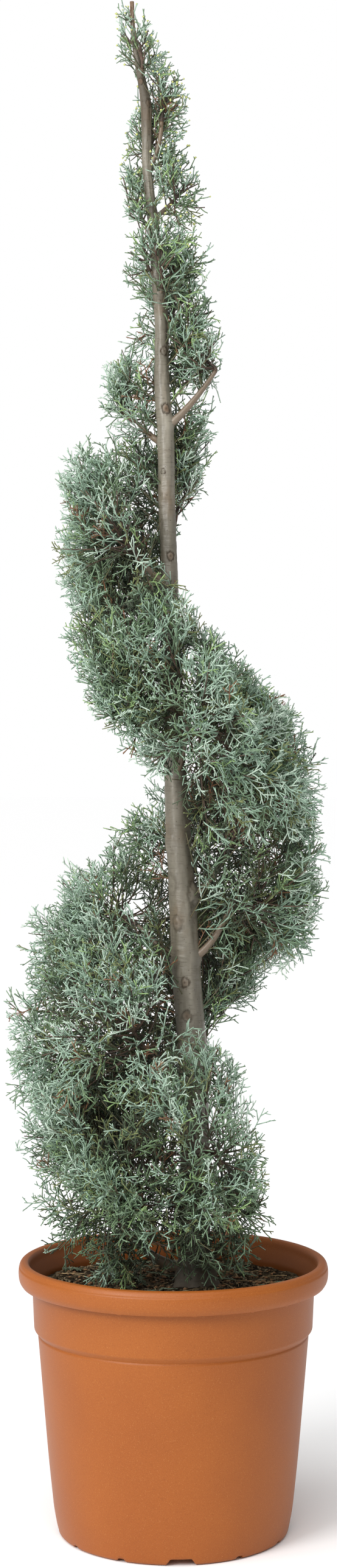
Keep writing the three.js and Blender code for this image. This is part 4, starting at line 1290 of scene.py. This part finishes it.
def compost():
    """Peat and bark compost: near black with brown and grey-green crumbs of about 5 mm."""
    material, tree, shader = start_material("Peat_Compost")
    place = add(tree, "TexCoord").outputs["Object"]
    crumb = add(tree, "TexVoronoi", {"Vector": place, "Scale": 190})
    tone = add(tree, "SeparateColor", {"Color": crumb.outputs["Color"]})
    base = add(tree, "ValToRGB", {"Fac": tone},
               [(0.0, linear("#1f180e")), (0.45, linear("#332819")), (0.75, linear("#5a4c37")),
                (0.93, linear("#7d6f58")), (1.0, linear("#8f7a62"))])
    fine = add(tree, "TexNoise", {"Vector": place, "Scale": 420, "Detail": 4, "Roughness": 0.7})
    bump = add(tree, "Bump", {"Height": fine, "Strength": 0.8, "Distance": 0.002})
    wire(tree, shader, {"Base Color": base, "Roughness": 0.95, "Normal": bump, "Specular IOR Level": 0.2})
    return material


def dry_litter(name, colour):
    """Dry straw, bark or leaf: matt, mottled lighter and darker every few millimetres."""
    material, tree, shader = start_material(name)
    place = add(tree, "TexCoord").outputs["Object"]
    patch = add(tree, "TexNoise", {"Vector": place, "Scale": 130, "Detail": 3})
    dark = tuple(0.45 * part for part in linear(colour)[:3]) + (1,)
    base = add(tree, "ValToRGB", {"Fac": patch}, [(0.35, dark), (0.6, linear(colour))])
    wire(tree, shader, {"Base Color": base, "Roughness": 0.85, "Specular IOR Level": 0.3})
    return material


def bark():
    """Smooth cypress bark: grey-brown and satin, with paler worn streaks along the stem, dark specks of 1 to
    2 mm, faint level wrinkles, and one matt dark brown for the knots' rings and pits, partly their own bark
    and partly painted shade, for painted shade on the trunk's foot and for the old bark of the leader. Brown
    bare wood shows where a limb was cut, and the same brown is mixed in as painted shade on the boughs."""
    material, tree, shader = start_material("Cypress_Bark")
    place = add(tree, "TexCoord").outputs["Object"]
    along = add(tree, "Mapping", {"Vector": place, "Scale": (55, 55, 11)})
    streak = add(tree, "TexNoise", {"Vector": along, "Scale": 1, "Detail": 5, "Roughness": 0.55})
    base = add(tree, "ValToRGB", {"Fac": streak},
               [(0.3, linear("#5a5549")), (0.5, linear("#716b5e")), (0.7, linear("#898375"))])
    patch = add(tree, "TexNoise", {"Vector": place, "Scale": 20, "Detail": 4, "Roughness": 0.6})
    flaked = add(tree, "ValToRGB", {"Fac": patch}, [(0.52, grey(0)), (0.72, grey(0.55))])
    level = add(tree, "Mapping", {"Vector": place, "Scale": (60, 60, 430)})
    wrinkle = add(tree, "TexNoise", {"Vector": level, "Scale": 1, "Detail": 4, "Roughness": 0.6})
    wrinkle_mask = add(tree, "ValToRGB", {"Fac": wrinkle}, [(0.34, grey(0.4)), (0.46, grey(0))])
    pore = add(tree, "TexVoronoi", {"Vector": place, "Scale": 150})
    pore_mask = add(tree, "ValToRGB", {"Fac": pore}, [(0.08, grey(0.7)), (0.17, grey(0))])
    # Layer of bare wood where a limb was cut, and of painted shade on the boughs in the same brown
    wood = add(tree, "Attribute", attribute_name="wood").outputs["Fac"]
    # Layer of painted shade in knot hollows and on the foot, and of dark old bark on knots and the leader
    crease = add(tree, "Attribute", attribute_name="crease").outputs["Fac"]
    colour = base
    for mask, tint in ((flaked, "#6f5c45"), (wrinkle_mask, "#4a4236"), (pore_mask, "#40372c"),
                       (wood, "#6e543c"), (crease, "#352818")):
        colour = add(tree, "Mix", {"Factor": mask, "A": colour, "B": linear(tint)}, data_type="RGBA")
    rough = add(tree, "MapRange", {"Value": crease, "To Min": 0.38, "To Max": 0.9})
    bump = add(tree, "Bump", {"Height": wrinkle, "Strength": 0.5, "Distance": 0.001})
    wire(tree, shader, {"Base Color": colour, "Roughness": rough, "Normal": bump, "Specular IOR Level": 0.5})
    return material


def young_bark(name, light, dark):
    """Bark of young twigs: reddish or olive brown, a little satin, mottled every centimetre or two."""
    material, tree, shader = start_material(name)
    place = add(tree, "TexCoord").outputs["Object"]
    patch = add(tree, "TexNoise", {"Vector": place, "Scale": 60, "Detail": 3})
    base = add(tree, "ValToRGB", {"Fac": patch}, [(0.35, linear(dark)), (0.65, linear(light))])
    wire(tree, shader, {"Base Color": base, "Roughness": 0.6})
    return material


def scale_leaves(name, colour):
    """Scale leaves with a waxy bloom: one plain colour for the spray, soft and hardly glossy."""
    material, tree, shader = start_material(name)
    wire(tree, shader, {"Base Color": linear(colour), "Roughness": 0.42, "Specular IOR Level": 0.55,
                        "Sheen Weight": 0.1, "Sheen Roughness": 0.5})
    return material


# Stage, light and camera
def make_stage():
    """A plain pale floor, far wider than the view."""
    mesh = bpy.data.meshes.new("Floor")
    half = FLOOR_HALF
    corners = [(-half, -half, 0), (half, -half, 0), (half, half, 0), (-half, half, 0)]
    mesh.from_pydata(corners, [], [(0, 1, 2, 3)])
    material, tree, shader = start_material("Pale_Floor")
    wire(tree, shader, {"Base Color": linear("#ffffff"), "Roughness": 0.9, "Specular IOR Level": 0.1})
    mesh.materials.append(material)
    put("Floor", mesh)


def make_light(name, kind, **settings):
    """A lamp in the scene, with its settings."""
    lamp = bpy.data.lights.new(name, kind)
    for setting, value in settings.items():
        setattr(lamp, setting, value)
    return put(name, lamp)


def light_scene():
    """White surroundings that light the plant only softly, a broad overhead light from the front left that
    also lights the whole floor, and a large soft lamp on the left for the pot's sheen."""
    world = bpy.data.worlds.new("Studio")
    world.use_nodes = True
    tree = world.node_tree
    tree.nodes.clear()
    seen = add(tree, "Background", {"Color": grey(1), "Strength": 1.0})
    lit = add(tree, "Background", {"Color": grey(1), "Strength": SURROUNDING_LIGHT})
    camera_ray = add(tree, "LightPath").outputs["Is Camera Ray"]
    mixed = add(tree, "MixShader", {0: camera_ray, 1: lit, 2: seen})
    add(tree, "OutputWorld", {"Surface": mixed})
    bpy.context.scene.world = world
    overhead = make_light("Overhead", "SUN", energy=OVERHEAD_POWER, angle=math.radians(OVERHEAD_SPREAD))
    overhead.rotation_euler = [math.radians(angle) for angle in OVERHEAD_TURN]
    key = make_light("Key", "AREA", energy=KEY_POWER, size=KEY_SIZE)
    key.location = KEY_PLACE
    key.rotation_euler = (Vector(KEY_PLACE) - Vector(KEY_TARGET)).to_track_quat("Z", "Y").to_euler()


def make_camera():
    """The photograph's camera, level with the middle of the crown and tilted down a little."""
    data = bpy.data.cameras.new("Camera")
    data.sensor_width = SENSOR
    data.lens = FOCAL_PIXELS / IMAGE_HEIGHT * SENSOR
    camera = put("Camera", data)
    camera.location = [part * MM for part in CAMERA_PLACE]
    camera.rotation_euler = (math.radians(90 - CAMERA_TILT), 0, 0)
    bpy.context.scene.camera = camera


make_camera()
make_stage()
light_scene()
bpy.context.scene.view_settings.view_transform = "Standard"

boughs = grow_boughs()
make_pot()
peat_compost = compost()
make_soil(peat_compost)
make_litter(peat_compost)
smooth_bark = bark()
make_trunk(boughs, smooth_bark)
make_boughs(boughs, smooth_bark)
make_crown(boughs)
